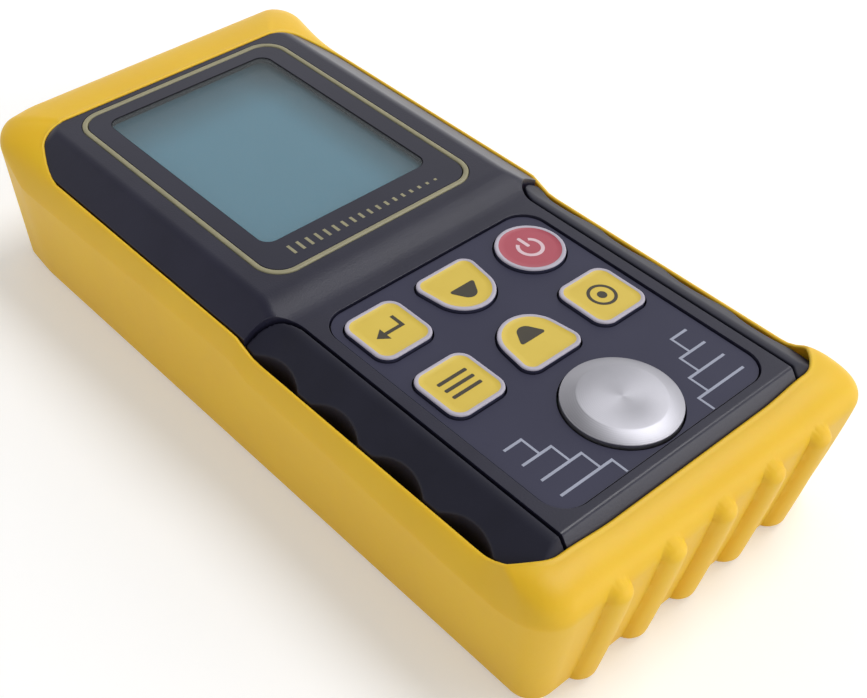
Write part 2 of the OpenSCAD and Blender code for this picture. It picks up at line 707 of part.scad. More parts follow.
module main_board() {
    board_w = 2 * (groove_x - wall) - 2.6;
    board_y0 = disc_y - 4;
    board_y1 = far_y - far_post - 0.6;
    chip_t = 1.5;
    chips = [[-10, -16, 12, 12], [8, 0, 10, 14], [12, -22, 8, 6]];
    color("seagreen") difference() {
        union() {
            block(-board_w / 2, board_w / 2, board_y0, board_y1, board_z - board_t, board_z);
            for (c = chips) block(c[0] - c[2] / 2, c[0] + c[2] / 2, lens_y + c[1], lens_y + c[1] + c[3],
                                  board_z - board_t - chip_t, board_z - board_t / 2);
        }
        both_sides() {
            for (p = board_screws_at)
                post(p[0], p[1], board_screw_r + fit_gap, board_z - 2 * board_t, board_z + cut);
            for (p = housing_screws_at)
                post(p[0], p[1], post_r + 2 * fit_gap, board_z - 2 * board_t, board_z + cut);
        }
    }
}

// Coaxial probe sockets: flange and barrel in one, with the bore open to the far end
module socket() {
    inner_y = far_y - socket_wall - nut_t - socket_tail;
    translate([0, 0, socket_z]) difference() {
        union() {
            translate([0, inner_y, 0]) rotate([-90, 0, 0]) cylinder(d = socket_d, h = far_y - inner_y);
            translate([0, far_y, 0]) rotate([-90, 0, 0]) cylinder(d = socket_flange_d, h = flange_t);
        }
        translate([0, far_y + flange_t - socket_depth, 0]) rotate([-90, 0, 0])
            cylinder(d = socket_bore, h = socket_depth + cut);
        translate([0, inner_y - cut, 0]) rotate([-90, 0, 0]) cylinder(d = core_d + 0.1, h = housing_h);
    }
}
module left_socket() { color("gainsboro") translate([-socket_pitch / 2, 0, 0]) socket(); }
module right_socket() { color("gainsboro") translate([socket_pitch / 2, 0, 0]) socket(); }

module socket_nuts() {
    color("gainsboro") for (x = [-1, 1])
        translate([x * socket_pitch / 2, far_y - socket_wall - nut_t, socket_z]) rotate([-90, 0, 0])
        difference() {
            cylinder(d = nut_flats / cos(30), h = nut_t, $fn = 6);
            translate([0, 0, -cut]) cylinder(d = socket_d + 0.1, h = nut_t + 2 * cut);
        }
}

module socket_cores() {
    core_y = far_y - socket_wall - nut_t - socket_tail - core_tail;
    color("white") for (x = [-1, 1])
        translate([x * socket_pitch / 2, core_y, socket_z]) rotate([-90, 0, 0]) difference() {
            cylinder(d = core_d, h = far_y + flange_t - socket_depth - core_y);
            translate([0, 0, core_tail + pin_d]) cylinder(d = pin_d, h = housing_h);
        }
}

module battery_door() {
    color("darkslategray") difference() {
        block(-door_w / 2, door_w / 2, door_y0, door_y1, back_z, bay_z0);
        post(0, door_screw_y, door_screw_r + 0.4, back_z - cut, bay_z0 + cut);
        post(0, door_screw_y, door_head_r + 0.2, back_z - cut, back_z + 1);
        for (i = [0 : 3]) translate([0, door_y1 - 8 - 2.4 * i, back_z]) rotate([0, 90, 0])
            cylinder(r = 0.6, h = door_w / 2, center = true);
    }
}

module screw(x, y, head_r, head_t, shank_r, z0, z1) {
    post(x, y, head_r, z0 - head_t, z0);
    post(x, y, shank_r, z0 - head_t / 2, z1);
}

module door_screw() {
    color("silver") screw(0, door_screw_y, door_head_r, door_head_t, door_screw_r, back_z + 1, bay_z0 + 6);
}

module battery_cells() {
    color("olivedrab") for (i = [0 : cell_count - 1]) {
        x = (i - (cell_count - 1) / 2) * (cell_d + bay_gap);
        translate([x, bay_y0 + bay_gap + contact_t, cell_z]) rotate([-90, 0, 0]) {
            translate([0, 0, i % 2 * nub]) cylinder(d = cell_d, h = cell_len - nub);
            cylinder(d = nub_d, h = cell_len);
        }
    }
}

// Leaf contacts at both ends of the bay: a plate on the wall and a bent tongue towards the cell
module battery_contacts() {
    plate_t = 0.5;
    tongue_t = contact_t - plate_t;
    color("silver") for (i = [0 : cell_count - 1], e = [0, 1]) {
        x = (i - (cell_count - 1) / 2) * (cell_d + bay_gap);
        y = e == 0 ? bay_y0 + bay_gap / 2 : bay_y1 - bay_gap / 2 - plate_t;
        translate([x - 3.4, y, bay_z0 + 1.5]) cube([6.8, plate_t, cell_d - 2.6]);
        ty = e == 0 ? y + plate_t / 2 : y + plate_t / 2 - tongue_t;
        translate([x, ty, cell_z]) rotate([-90, 0, 0]) cylinder(d = 5, h = tongue_t);
    }
}

module housing_screws() {
    color("silver") both_sides() for (p = housing_screws_at)
        screw(p[0], p[1], screw_head_r, screw_head_t, screw_r, screw_seat_z, screw_top_z);
}

module board_screws() {
    color("silver") both_sides() for (p = board_screws_at)
        screw(p[0], p[1], board_head_r, board_head_t, board_screw_r, board_z - board_t, key_ceiling_z - 1);
}

boot();
front_housing();
rear_housing();
left_grip();
right_grip();
window_lens();
window_trim();
display_glass();
display_backlight();
display_holder();
keypad_panel();
enter_key();
down_key();
power_key();
memory_key();
up_key();
calibration_key();
key_domes();
calibration_disc();
main_board();
left_socket();
right_socket();
socket_nuts();
socket_cores();
battery_door();
door_screw();
battery_cells();
battery_contacts();
housing_screws();
board_screws();
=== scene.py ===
# %% [markdown]
# A handheld thickness gauge in a soft boot.
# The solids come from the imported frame: they say where everything is. This lesson dresses them, one piece
# at a time. All sizes here are in millimetres, as on a drawing, and become metres when a mesh is made.

# %% Load the frame
import math

import bmesh
import bpy
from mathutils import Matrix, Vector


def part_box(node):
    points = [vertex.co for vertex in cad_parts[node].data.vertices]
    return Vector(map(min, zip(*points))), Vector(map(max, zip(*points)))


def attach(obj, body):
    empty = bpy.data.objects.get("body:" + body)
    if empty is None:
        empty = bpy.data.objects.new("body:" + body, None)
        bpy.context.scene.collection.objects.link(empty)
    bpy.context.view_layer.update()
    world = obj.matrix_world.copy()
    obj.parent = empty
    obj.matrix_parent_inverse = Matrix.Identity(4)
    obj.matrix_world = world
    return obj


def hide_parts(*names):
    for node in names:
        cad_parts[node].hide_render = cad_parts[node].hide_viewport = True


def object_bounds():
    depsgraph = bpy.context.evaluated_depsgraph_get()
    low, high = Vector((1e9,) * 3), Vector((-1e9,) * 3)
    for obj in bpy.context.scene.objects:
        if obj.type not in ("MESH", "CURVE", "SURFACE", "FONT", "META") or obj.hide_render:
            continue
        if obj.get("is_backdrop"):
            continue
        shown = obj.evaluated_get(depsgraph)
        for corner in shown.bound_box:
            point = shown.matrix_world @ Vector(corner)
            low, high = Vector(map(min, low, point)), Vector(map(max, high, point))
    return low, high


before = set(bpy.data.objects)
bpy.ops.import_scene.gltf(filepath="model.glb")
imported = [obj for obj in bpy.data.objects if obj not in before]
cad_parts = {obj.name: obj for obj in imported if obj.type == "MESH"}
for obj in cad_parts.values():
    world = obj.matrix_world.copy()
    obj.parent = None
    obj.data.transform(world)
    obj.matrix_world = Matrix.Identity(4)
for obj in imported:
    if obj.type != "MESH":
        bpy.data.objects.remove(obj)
cad_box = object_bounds()
MM = 0.001


# %% Read the places that the solids give
def box_mm(node):
    low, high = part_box(node)
    return [v / MM for v in low], [v / MM for v in high]


def middle(node):
    low, high = box_mm(node)
    return [(a + b) / 2 for a, b in zip(low, high)]


front_low, front_high = box_mm("front_housing")
half_w, near_y, far_y = front_high[0], front_low[1], front_high[1]
parting_z, face_z = front_low[2], front_high[2]
back_z = box_mm("rear_housing")[0][2]
boot_high = box_mm("boot")[1]
print("housing %.1f x %.1f mm, face at %.1f mm" % (2 * half_w, far_y - near_y, face_z))

# %% [markdown]
# Most pieces here are skins over stacked outlines, so a few helpers do most of the work. An outline is the
# tight band round a set of circles. Its points are found by direction, so two outlines with the same number
# of points always match up, and moving an outline out by a fixed distance is only a larger radius.


# %% Outlines, skins and prisms
def mix(a, b, t):
    return a + (b - a) * t


def clamp(t):
    return min(max(t, 0.0), 1.0)


def smooth(a, b, v):
    t = clamp((v - a) / (b - a))
    return t * t * (3 - 2 * t)


def outline(circles, grow=0.0, steps=96):
    points = []
    for i in range(steps):
        a = 2 * math.pi * (i + 0.5) / steps
        nx, ny = math.cos(a), math.sin(a)
        x, y, r = max(circles, key=lambda c: c[0] * nx + c[1] * ny + c[2])
        points.append((x + (r + grow) * nx, y + (r + grow) * ny))
    return points


def corners(x0, x1, y0, y1, r):
    return [(x, y, r) for x in (x0 + r, x1 - r) for y in (y0 + r, y1 - r)]


def level(points, z):
    return [(x, y, z) for x, y in points]


def skin(rings, closed=False):
    n = len(rings[0])
    vertices = [p for ring in rings for p in ring]
    faces = []
    for i in range(len(rings) if closed else len(rings) - 1):
        a, b = i * n, ((i + 1) % len(rings)) * n
        faces += [(a + j, a + (j + 1) % n, b + (j + 1) % n, b + j) for j in range(n)]
    if not closed:
        faces.append(tuple(reversed(range(n))))
        faces.append(tuple(range((len(rings) - 1) * n, len(rings) * n)))
    return vertices, faces


def prism(points, axis, low, high):
    place = {"x": lambda p, h: (h, p[0], p[1]), "y": lambda p, h: (p[0], h, p[1]),
             "z": lambda p, h: (p[0], p[1], h)}
    return skin([[place[axis](p, h) for p in points] for h in (low, high)])


def block(x0, x1, y0, y1, z0, z1):
    return prism([(x0, y0), (x1, y0), (x1, y1), (x0, y1)], "z", z0, z1)


# %% Turn a skin into an object
def make(name, shape, *materials):
    mesh = bpy.data.meshes.new(name)
    mesh.from_pydata([[c * MM for c in p] for p in shape[0]], [], shape[1])
    tidy_normals(mesh)
    for m in materials:
        mesh.materials.append(m)
    return add(name, mesh)


def add(name, data):
    obj = bpy.data.objects.new(name, data)
    bpy.context.scene.collection.objects.link(obj)
    return obj


def tidy_normals(mesh):
    work = bmesh.new()
    work.from_mesh(mesh)
    bmesh.ops.recalc_face_normals(work, faces=work.faces)
    work.to_mesh(mesh)
    work.free()


def flatten(mesh):
    """Join points that lie together, and faces that lie in one plane."""
    work = bmesh.new()
    work.from_mesh(mesh)
    bmesh.ops.remove_doubles(work, verts=work.verts, dist=0.001 * MM)
    bmesh.ops.dissolve_limit(work, angle_limit=math.radians(0.5), verts=work.verts, edges=work.edges)
    work.to_mesh(mesh)
    work.free()


# %% Change an object for good
def settle(obj):
    """Make what the modifiers give the object's own mesh."""
    done = obj.evaluated_get(bpy.context.evaluated_depsgraph_get())
    mesh = bpy.data.meshes.new_from_object(done)
    obj.modifiers.clear()
    obj.data = mesh
    return obj


def combine(obj, shape, operation="DIFFERENCE"):
    tool = make("tool", shape)
    change = obj.modifiers.new("combine", "BOOLEAN")
    change.operation, change.object, change.solver = operation, tool, "EXACT"
    settle(obj)
    bpy.data.objects.remove(tool)
    return obj


# %% Smooth an object and round its edges
def shade(obj, angle=35):
    for face in obj.data.polygons:
        face.use_smooth = True
    obj.data.set_sharp_from_angle(angle=math.radians(angle))
    return obj


def round_edges(obj, width, segments=2, angle=35):
    bevel = obj.modifiers.new("round", "BEVEL")
    bevel.width, bevel.segments = width * MM, segments
    bevel.limit_method, bevel.angle_limit = "ANGLE", math.radians(angle)
    bevel.use_clamp_overlap = False
    shade(settle(obj), angle)
    even = obj.modifiers.new("even", "WEIGHTED_NORMAL")
    even.keep_sharp = True
    return settle(obj)


# %% Fit a piece to a body and hide the node it stands for
def fit(obj, body="gauge", node=None):
    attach(obj, body)
    if node:
        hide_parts(node)
    print(obj.name, len(obj.data.polygons), "faces")
    return obj


# %% [markdown]
# Moulded plastic and rubber are never quite even. One shader group gives a fine grain and a broad mottle
# from Object coordinates, and each material places it with its own sizes. The shader itself stays in the
# material.


# %% The grain that all mouldings share
def grain_group():
    group = bpy.data.node_groups.new("moulded grain", "ShaderNodeTree")
    for name, kind, way in (("Vector", "Vector", "INPUT"), ("Grain Scale", "Float", "INPUT"),
                            ("Mottle Scale", "Float", "INPUT"), ("Grain", "Float", "OUTPUT"),
                            ("Mottle", "Float", "OUTPUT")):
        group.interface.new_socket(name=name, in_out=way, socket_type="NodeSocket" + kind)
    start, end = group.nodes.new("NodeGroupInput"), group.nodes.new("NodeGroupOutput")
    for name, detail in (("Grain", 3.0), ("Mottle", 4.0)):
        noise = group.nodes.new("ShaderNodeTexNoise")
        noise.inputs["Detail"].default_value = detail
        group.links.new(start.outputs["Vector"], noise.inputs["Vector"])
        group.links.new(start.outputs[name + " Scale"], noise.inputs["Scale"])
        group.links.new(noise.outputs["Fac"], end.inputs[name])
    return group


GRAIN = grain_group()
print("group:", GRAIN.name)


# %% A finish: two shades, a range of roughness and a grain
def plain(name):
    material = bpy.data.materials.new(name)
    material.use_nodes = True
    return material, material.node_tree.nodes["Principled BSDF"]


def finish(name, light, dark, rough=(0.4, 0.5), grain=0.4, mottle=12.0, depth=0.01, **sockets):
    material, bsdf = plain(name)
    nodes, links = material.node_tree.nodes, material.node_tree.links
    for key, value in sockets.items():
        bsdf.inputs[key.replace("_", " ").title().replace("Ior", "IOR")].default_value = value
    place, grained = nodes.new("ShaderNodeTexCoord"), nodes.new("ShaderNodeGroup")
    grained.node_tree = GRAIN
    grained.inputs["Grain Scale"].default_value = 1 / (grain * MM)
    grained.inputs["Mottle Scale"].default_value = 1 / (mottle * MM)
    links.new(place.outputs["Object"], grained.inputs["Vector"])
    shades = nodes.new("ShaderNodeValToRGB")
    shades.color_ramp.elements[0].position, shades.color_ramp.elements[1].position = 0.35, 0.65
    shades.color_ramp.elements[0].color = (*dark, 1)
    shades.color_ramp.elements[1].color = (*light, 1)
    links.new(grained.outputs["Mottle"], shades.inputs["Fac"])
    links.new(shades.outputs["Color"], bsdf.inputs["Base Color"])
    rub = nodes.new("ShaderNodeMapRange")
    rub.inputs["To Min"].default_value, rub.inputs["To Max"].default_value = rough
    links.new(grained.outputs["Mottle"], rub.inputs["Value"])
    links.new(rub.outputs["Result"], bsdf.inputs["Roughness"])
    if depth:
        bump = nodes.new("ShaderNodeBump")
        bump.inputs["Distance"].default_value = depth * MM
        links.new(grained.outputs["Grain"], bump.inputs["Height"])
        links.new(bump.outputs["Normal"], bsdf.inputs["Normal"])
    return material


# %% The finishes
boot_rubber = finish("boot rubber", (0.86, 0.53, 0.02), (0.83, 0.5, 0.017), (0.42, 0.52), 1.2, 18, 0.03,
                     specular_ior_level=0.4, subsurface_weight=0.12, subsurface_scale=0.002,
                     subsurface_radius=(1.0, 0.5, 0.1))
housing_plastic = finish("housing plastic", (0.018, 0.0175, 0.036), (0.0155, 0.015, 0.031), (0.3, 0.38),
                         0.35, 10, 0.02, specular_ior_level=0.43)
grip_rubber = finish("grip rubber", (0.0125, 0.0125, 0.026), (0.0105, 0.0105, 0.022), (0.5, 0.6), 0.4, 8, 0.02,
                     specular_ior_level=0.3)
panel_film = finish("panel film", (0.036, 0.036, 0.07), (0.032, 0.032, 0.064), (0.42, 0.5), 0.25, 14, 0.006,
                    specular_ior_level=0.28)
mask_print = finish("mask print", (0.02, 0.02, 0.038), (0.018, 0.018, 0.034), (0.26, 0.32), 0.3, 16, 0.002,
                    specular_ior_level=0.4)
# painted shade: a near-black, dull finish for the mask's inner wall and the panel's edges, where shadow falls
painted_shade_edge = finish("painted shade edge", (0.012, 0.012, 0.016), (0.01, 0.01, 0.014), (0.7, 0.8), 0.3, 6, 0.0,
                   specular_ior_level=0.1)
gold_print = finish("gold print", (0.31, 0.285, 0.17), (0.27, 0.25, 0.15), (0.4, 0.52), 0.5, 3, 0.01)
pale_print = finish("pale print", (0.35, 0.37, 0.47), (0.32, 0.34, 0.43), (0.45, 0.55), 0.4, 5, 0.004)
key_yellow = finish("key yellow", (0.71, 0.52, 0.07), (0.68, 0.49, 0.06), (0.4, 0.48), 0.5, 9, 0.006)
key_red = finish("key red", (0.44, 0.075, 0.11), (0.41, 0.067, 0.097), (0.4, 0.48), 0.5, 9, 0.006)
key_border = finish("key border", (0.48, 0.45, 0.53), (0.45, 0.42, 0.49), (0.42, 0.5), 0.5, 6, 0.006)
dark_print = finish("dark print", (0.045, 0.036, 0.02), (0.038, 0.03, 0.018), (0.5, 0.6), 0.4, 4, 0.004)
red_symbol = finish("red key symbol", (0.75, 0.55, 0.6), (0.7, 0.51, 0.56), (0.45, 0.55), 0.4, 4, 0.004)
steel = finish("plain steel", (0.62, 0.61, 0.6), (0.55, 0.54, 0.53), (0.24, 0.34), 0.3, 5, 0.004, metallic=1.0)
plated = finish("plated metal", (0.72, 0.68, 0.6), (0.66, 0.62, 0.54), (0.16, 0.26), 0.3, 4, 0.003,
                metallic=1.0)
white_plastic = finish("white plastic", (0.82, 0.81, 0.77), (0.78, 0.77, 0.73), (0.4, 0.5), 0.4, 8, 0.008)
board_mask = finish("board mask", (0.02, 0.15, 0.06), (0.015, 0.12, 0.05), (0.25, 0.35), 0.6, 7, 0.006)
cell_jacket = finish("cell jacket", (0.09, 0.12, 0.11), (0.07, 0.1, 0.09), (0.3, 0.4), 0.5, 9, 0.004)
print("finishes made")

# %% [markdown]
# The housing is a rounded box whose sections change with height: a rounded back edge, a little draft, an
# upright waist, then flat slopes. The slopes differ: short and high at the near end, low along the sides,
# where a soft fold leads into the face. One function gives the insets at any height, for the housing and
# for the boot round it.

# %% Sections of the housing
SIDE_RUN, SIDE_DROP, FOLD_R, FOLD_STEPS = 6.3, 3.9, 4.0, 8
NEAR_RUN, NEAR_DROP, NEAR_FOLD, FAR_RUN, FAR_DROP = 6.0, 8.2, 0.9, 4.5, 4.9
REAR_DRAFT, BACK_EDGE = 1.8, 3.0
HOUSING_R, CORNER_SHARE, CORNER_MIN = 5.5, 0.45, 2.2
shoulder_z = face_z - SIDE_DROP


def slope(run, drop, step=0.0, r=FOLD_R):
    """Insets and heights of a shoulder, up to a rounded fold and a flat that may lie a step lower."""
    turn = math.atan2(drop, run)
    low = drop - step
    flat = run * low / drop + r * math.tan(turn / 2)
    bends = [turn * (1 - i / FOLD_STEPS) for i in range(FOLD_STEPS + 1)]
    return [(0.0, 0.0)] + [(flat - r * math.sin(a), low - r * (1 - math.cos(a))) for a in bends]


def rise(points, inset):
    """The height of such a shoulder at a distance in from its edge."""
    for (a, low), (b, high) in zip(points, points[1:]):
        if inset <= b:
            return mix(low, high, clamp((inset - a) / (b - a)))
    return points[-1][1]


SIDE = slope(SIDE_RUN, SIDE_DROP)


def side_inset(z):
    for (a, low), (b, high) in zip(SIDE, SIDE[1:]):
        if z - shoulder_z <= high:
            return mix(a, b, clamp((z - shoulder_z - low) / (high - low)))
    return SIDE[-1][0]


def insets(z):
    h = z - back_z
    if z >= parting_z:
        below = face_z - z
        return side_inset(z), NEAR_RUN * clamp(1 - below / NEAR_DROP), FAR_RUN * clamp(1 - below / FAR_DROP)
    if h > BACK_EDGE:
        inset = REAR_DRAFT * clamp((parting_z - z) / (parting_z - back_z - BACK_EDGE))
    else:
        inset = REAR_DRAFT + BACK_EDGE * (1 - math.sqrt(1 - (1 - max(h, 0) / BACK_EDGE) ** 2))
    return inset, inset, inset


# %% Points round a section
def station(j, counts, hw, y0, y1, r):
    """Point j of a rounded rectangle, from its near left corner. Each stretch has its own steps."""
    near, corner, side, far = counts
    arcs = ((hw - r, y0 + r, -90), (hw - r, y1 - r, 0), (r - hw, y1 - r, 90), (r - hw, y0 + r, 180))
    lines = (((r - hw, y0), (hw - r, y0)), ((hw, y0 + r), (hw, y1 - r)), ((hw - r, y1), (r - hw, y1)),
             ((-hw, y1 - r), (-hw, y0 + r)))
    for i, steps in enumerate((near, side, far, side)):
        if j < steps:
            (ax, ay), (bx, by) = lines[i]
            return mix(ax, bx, j / steps), mix(ay, by, j / steps)
        j -= steps
        if j < corner:
            x, y, start = arcs[i]
            a = math.radians(start + 90 * j / corner)
            return x + r * math.cos(a), y + r * math.sin(a)
        j -= corner


def stations(counts):
    near, corner, side, far = counts
    return range(near + 4 * corner + 2 * side + far)


def housing_point(j, counts, z, grow=0.0):
    side, near, far = insets(z)
    x, y = station(j, counts, half_w - side + grow, near_y + near - grow, far_y - far + grow,
                   max(HOUSING_R - CORNER_SHARE * side, CORNER_MIN) + grow)
    return x, y, z


print("shoulder starts at %.1f mm" % shoulder_z)

# %% [markdown]
# The boot is one soft moulding, stretched over the housing. Its rim stands high at the display end, dips
# beside the grips and rises again at the near end. Along the sides it is thin and slopes outwards, at the
# ends it is broad and round, and a small rounding on its inner edge catches the light. It could be
# sculpted, but its shape follows rules, so it is one closed skin: from the opening in the back, up the
# outside, over the rim and down the inside.

# %% The boot's sizes
BOOT_COUNTS = (300, 16, 64, 40)
BOOT_FLOOR, BOOT_GAP, BOOT_EDGE, BOOT_LIP = 3.0, 0.3, 1.5, 9.0
BOOT_R, BOOT_BASE_R = 6.0, 4.5
BOOT_SIDE, BOOT_SIDE_BASE, BOOT_WAIST = 3.7, 2.4, 1.3
BOOT_NEAR, BOOT_NEAR_BASE, NEAR_EASE = 4.45, 3.0, 1.15
BOOT_FAR, BOOT_FAR_BASE = 7.0, 6.4
CORNER_PULL, PULL_START, PULL_X, PULL_Y = 2.0, 8.0, 12.0, 15.0
FACE_STEP, GRIP_DROP = 1.5, 4.25
key_face_z = face_z - FACE_STEP
RIM_FAR, RIM_SIDE, RIM_NEAR, RIM_LIFT = face_z + 0.3, shoulder_z, shoulder_z + 0.4, 0.5
RIM_GRIP = key_face_z - GRIP_DROP - 0.15
RIM_START, RIM_CORNER, RIM_FAR_CORNER, RIM_FAR_END, RIM_FAR_CURVE = 0.5, 10.5, 16.0, 2.0, 1.5
RISE_BEFORE, RISE_AFTER = 5.0, 1.0
RIM_NEAR_DROP, RIM_FAR_DROP, RIM_SIDE_DROP, RIM_BEND, RIM_SIDE_BEND = 5.2, 2.8, 4.4, 2.05, 1.28
LIP_R, LIP_START = 0.42, -36
WALL_RINGS, WALL_CROWD, RIM_RINGS = 20, 1.8, 20
RIB = {"Count": 5, "Pitch": 12.15, "Width": 5.4, "Height": 1.97, "Top": RIM_NEAR - 3.0}
grip_y = box_mm("right_grip")[1][1] + 0.5
print("grips end at %.1f mm" % grip_y)


# %% How the rim runs
def rim_z(x, y):
    near = RIM_NEAR + RIM_LIFT * smooth(half_w / 2, half_w - HOUSING_R, abs(x))
    z = mix(near, RIM_GRIP, smooth(near_y + RIM_START, near_y + RIM_START + RIM_CORNER, y))
    z += (RIM_SIDE - RIM_GRIP) * smooth(grip_y - RISE_BEFORE, grip_y + RISE_AFTER, y)
    return z + (RIM_FAR - RIM_SIDE) * clamp((y - far_y) / RIM_FAR_CORNER + 1) ** RIM_FAR_CURVE


def thin(y):
    """0 at the ends, where the rim is broad and round, 1 along the sides, where it slopes."""
    near = smooth(near_y + RIM_START, near_y + RIM_START + RIM_CORNER, y)
    return near * (1 - smooth(far_y - RIM_FAR_CORNER, far_y - RIM_FAR_END, y))


# %% Points on the boot's outside and round its opening
def boot_outer(j, t, z, inset=0.0):
    side = mix(BOOT_SIDE_BASE - REAR_DRAFT, BOOT_SIDE, t)
    near = mix(BOOT_NEAR_BASE - REAR_DRAFT, BOOT_NEAR, 1 - (1 - t) ** NEAR_EASE)
    far = mix(BOOT_FAR_BASE - REAR_DRAFT, BOOT_FAR, t)
    x, y = station(j, BOOT_COUNTS, half_w + side - inset, near_y - near + inset, far_y + far - inset,
                   mix(BOOT_BASE_R, BOOT_R, t) - inset)
    waist = BOOT_WAIST * 0.5 * (1 - math.cos(2 * math.pi * clamp((y - near_y) / (far_y - near_y))))
    pull = CORNER_PULL * clamp((-x - half_w + PULL_START) / PULL_X) * clamp((y - far_y + PULL_START) / PULL_Y)
    return x * (1 - t * waist / half_w) + pull, y - pull, z


def boot_window(j, z):
    x, y = station(j, BOOT_COUNTS, half_w - BOOT_LIP, near_y + BOOT_LIP, far_y - BOOT_LIP, HOUSING_R)
    return x, y, z


# %% The rim at each station
around = stations(BOOT_COUNTS)
places = [housing_point(j, BOOT_COUNTS, parting_z) for j in around]
rims = [rim_z(x, y) for x, y, _ in places]
ends = [RIM_NEAR_DROP if y < 0 else RIM_FAR_DROP for _, y, _ in places]
falls = [mix(end, RIM_SIDE_DROP, thin(y)) for end, (_, y, _) in zip(ends, places)]
bends = [2 / mix(RIM_BEND, RIM_SIDE_BEND, thin(y)) for _, y, _ in places]
print("rim from %.1f to %.1f mm" % (min(rims), max(rims)))


def lip(j, angle):
    """A point on the small rounding at the rim's inner edge: up at 0, inwards at 90 degrees."""
    a = math.radians(angle)
    x, y, z = housing_point(j, BOOT_COUNTS, rims[j], BOOT_GAP + LIP_R * (1 - math.sin(a)))
    return x, y, z - LIP_R * (1 - math.cos(a))


# %% The boot's rings, each with the share of a rib's height that it takes
boot_rings = [([boot_window(j, 0.0) for j in around], 0.0)]
for a in (0, 18, 36, 54, 72):
    c, s = math.cos(math.radians(a)), math.sin(math.radians(a))
    ring = [boot_outer(j, 0.0, BOOT_EDGE * (1 - c), BOOT_EDGE * (1 - s)) for j in around]
    boot_rings.append((ring, 0.6 + 0.4 * s))
for i in range(WALL_RINGS + 1):
    t = 1 - (1 - i / WALL_RINGS) ** WALL_CROWD
    boot_rings.append(([boot_outer(j, t, mix(BOOT_EDGE, rims[j] - falls[j], t)) for j in around], 1.0))
for i in range(1, RIM_RINGS + 1):
    a = math.radians(90 * i / RIM_RINGS)
    c, s = math.cos(a), math.sin(a)
    ring = []
    for j in around:
        ox, oy, oz = boot_outer(j, 1.0, rims[j] - falls[j])
        ix, iy, iz = lip(j, LIP_START)
        reach, climb = max(c, 0.0) ** bends[j], s ** bends[j]
        ring.append((mix(ix, ox, reach), mix(iy, oy, reach), mix(oz, iz, climb)))
    boot_rings.append((ring, 1.0))
for angle in (-18, 0, 22, 44, 66, 90):
    boot_rings.append(([lip(j, angle) for j in around], 0.0))

# %% The rings down the boot's inside
tops = [rim - LIP_R for rim in rims]
levels = [[mix(min(shoulder_z, top - 0.1), top, g) for top in tops] for g in (0.66, 0.33, 0)]
for foot, below in ((face_z - FAR_DROP, 0.8), (face_z - NEAR_DROP, 1.2)):
    levels.append([min(foot, rim - below) for rim in rims])
for z in (parting_z, *(back_z + h * BACK_EDGE for h in (1.0, 0.6, 0.3, 0.12))):
    levels.append([z for j in around])
for heights in levels:
    boot_rings.append(([housing_point(j, BOOT_COUNTS, heights[j], BOOT_GAP) for j in around], 0.0))
boot_rings.append(([(*housing_point(j, BOOT_COUNTS, back_z, BOOT_GAP)[:2], BOOT_FLOOR) for j in around], 0.0))
boot_rings.append(([boot_window(j, BOOT_FLOOR) for j in around], 0.0))
boot = make("boot_skin", skin([ring for ring, share in boot_rings], closed=True), boot_rubber)
shares = boot.data.attributes.new("rib_share", "FLOAT", "POINT")
shares.data.foreach_set("value", [share if j < BOOT_COUNTS[0] else 0.0
                                  for ring, share in boot_rings for j in around])
print("boot rings:", len(boot_rings), "points each:", len(around))

# %% [markdown]
# The near wall has upright finger ribs. Each is half round and ends in a dome near the rim. They repeat by
# a rule, so a Geometry Nodes tree pushes the wall's own points outwards: it finds the nearest rib's middle
# for each point, and moves the point by the height of a half round there.


# %% A class for node trees
class Tree:
    """Short hands for a node tree: inputs by name and sums as calls."""

    def __init__(self, name, **inputs):
        self.tree = bpy.data.node_groups.new(name, "GeometryNodeTree")
        self.tree.interface.new_socket(name="Geometry", in_out="INPUT", socket_type="NodeSocketGeometry")
        self.sockets = {}
        for key, kind in inputs.items():
            title = key.replace("_", " ")
            made = self.tree.interface.new_socket(name=title, in_out="INPUT", socket_type="NodeSocket" + kind)
            self.sockets[key] = made.identifier
        self.tree.interface.new_socket(name="Geometry", in_out="OUTPUT", socket_type="NodeSocketGeometry")
        self.start = self.tree.nodes.new("NodeGroupInput")
        self.end = self.tree.nodes.new("NodeGroupOutput")

    def given(self, key):
        return self.start.outputs[key.replace("_", " ")]

    def node(self, kind, **inputs):
        node = self.tree.nodes.new(kind)
        for key, value in inputs.items():
            self.plug(value, node.inputs[key])
        return node

    def plug(self, value, socket):
        if isinstance(value, bpy.types.NodeSocket):
            self.tree.links.new(value, socket)
        else:
            socket.default_value = value

    def sum(self, operation, *values):
        node = self.tree.nodes.new("ShaderNodeMath")
        node.operation = operation
        for value, socket in zip(values, node.inputs):
            self.plug(value, socket)
        return node.outputs[0]

    def finish(self, geometry):
        self.tree.links.new(geometry, self.end.inputs[0])

    def apply(self, obj, **values):
        change = obj.modifiers.new(self.tree.name, "NODES")
        change.node_group = self.tree
        for key, value in values.items():
            change[self.sockets[key]] = value
        return settle(obj)


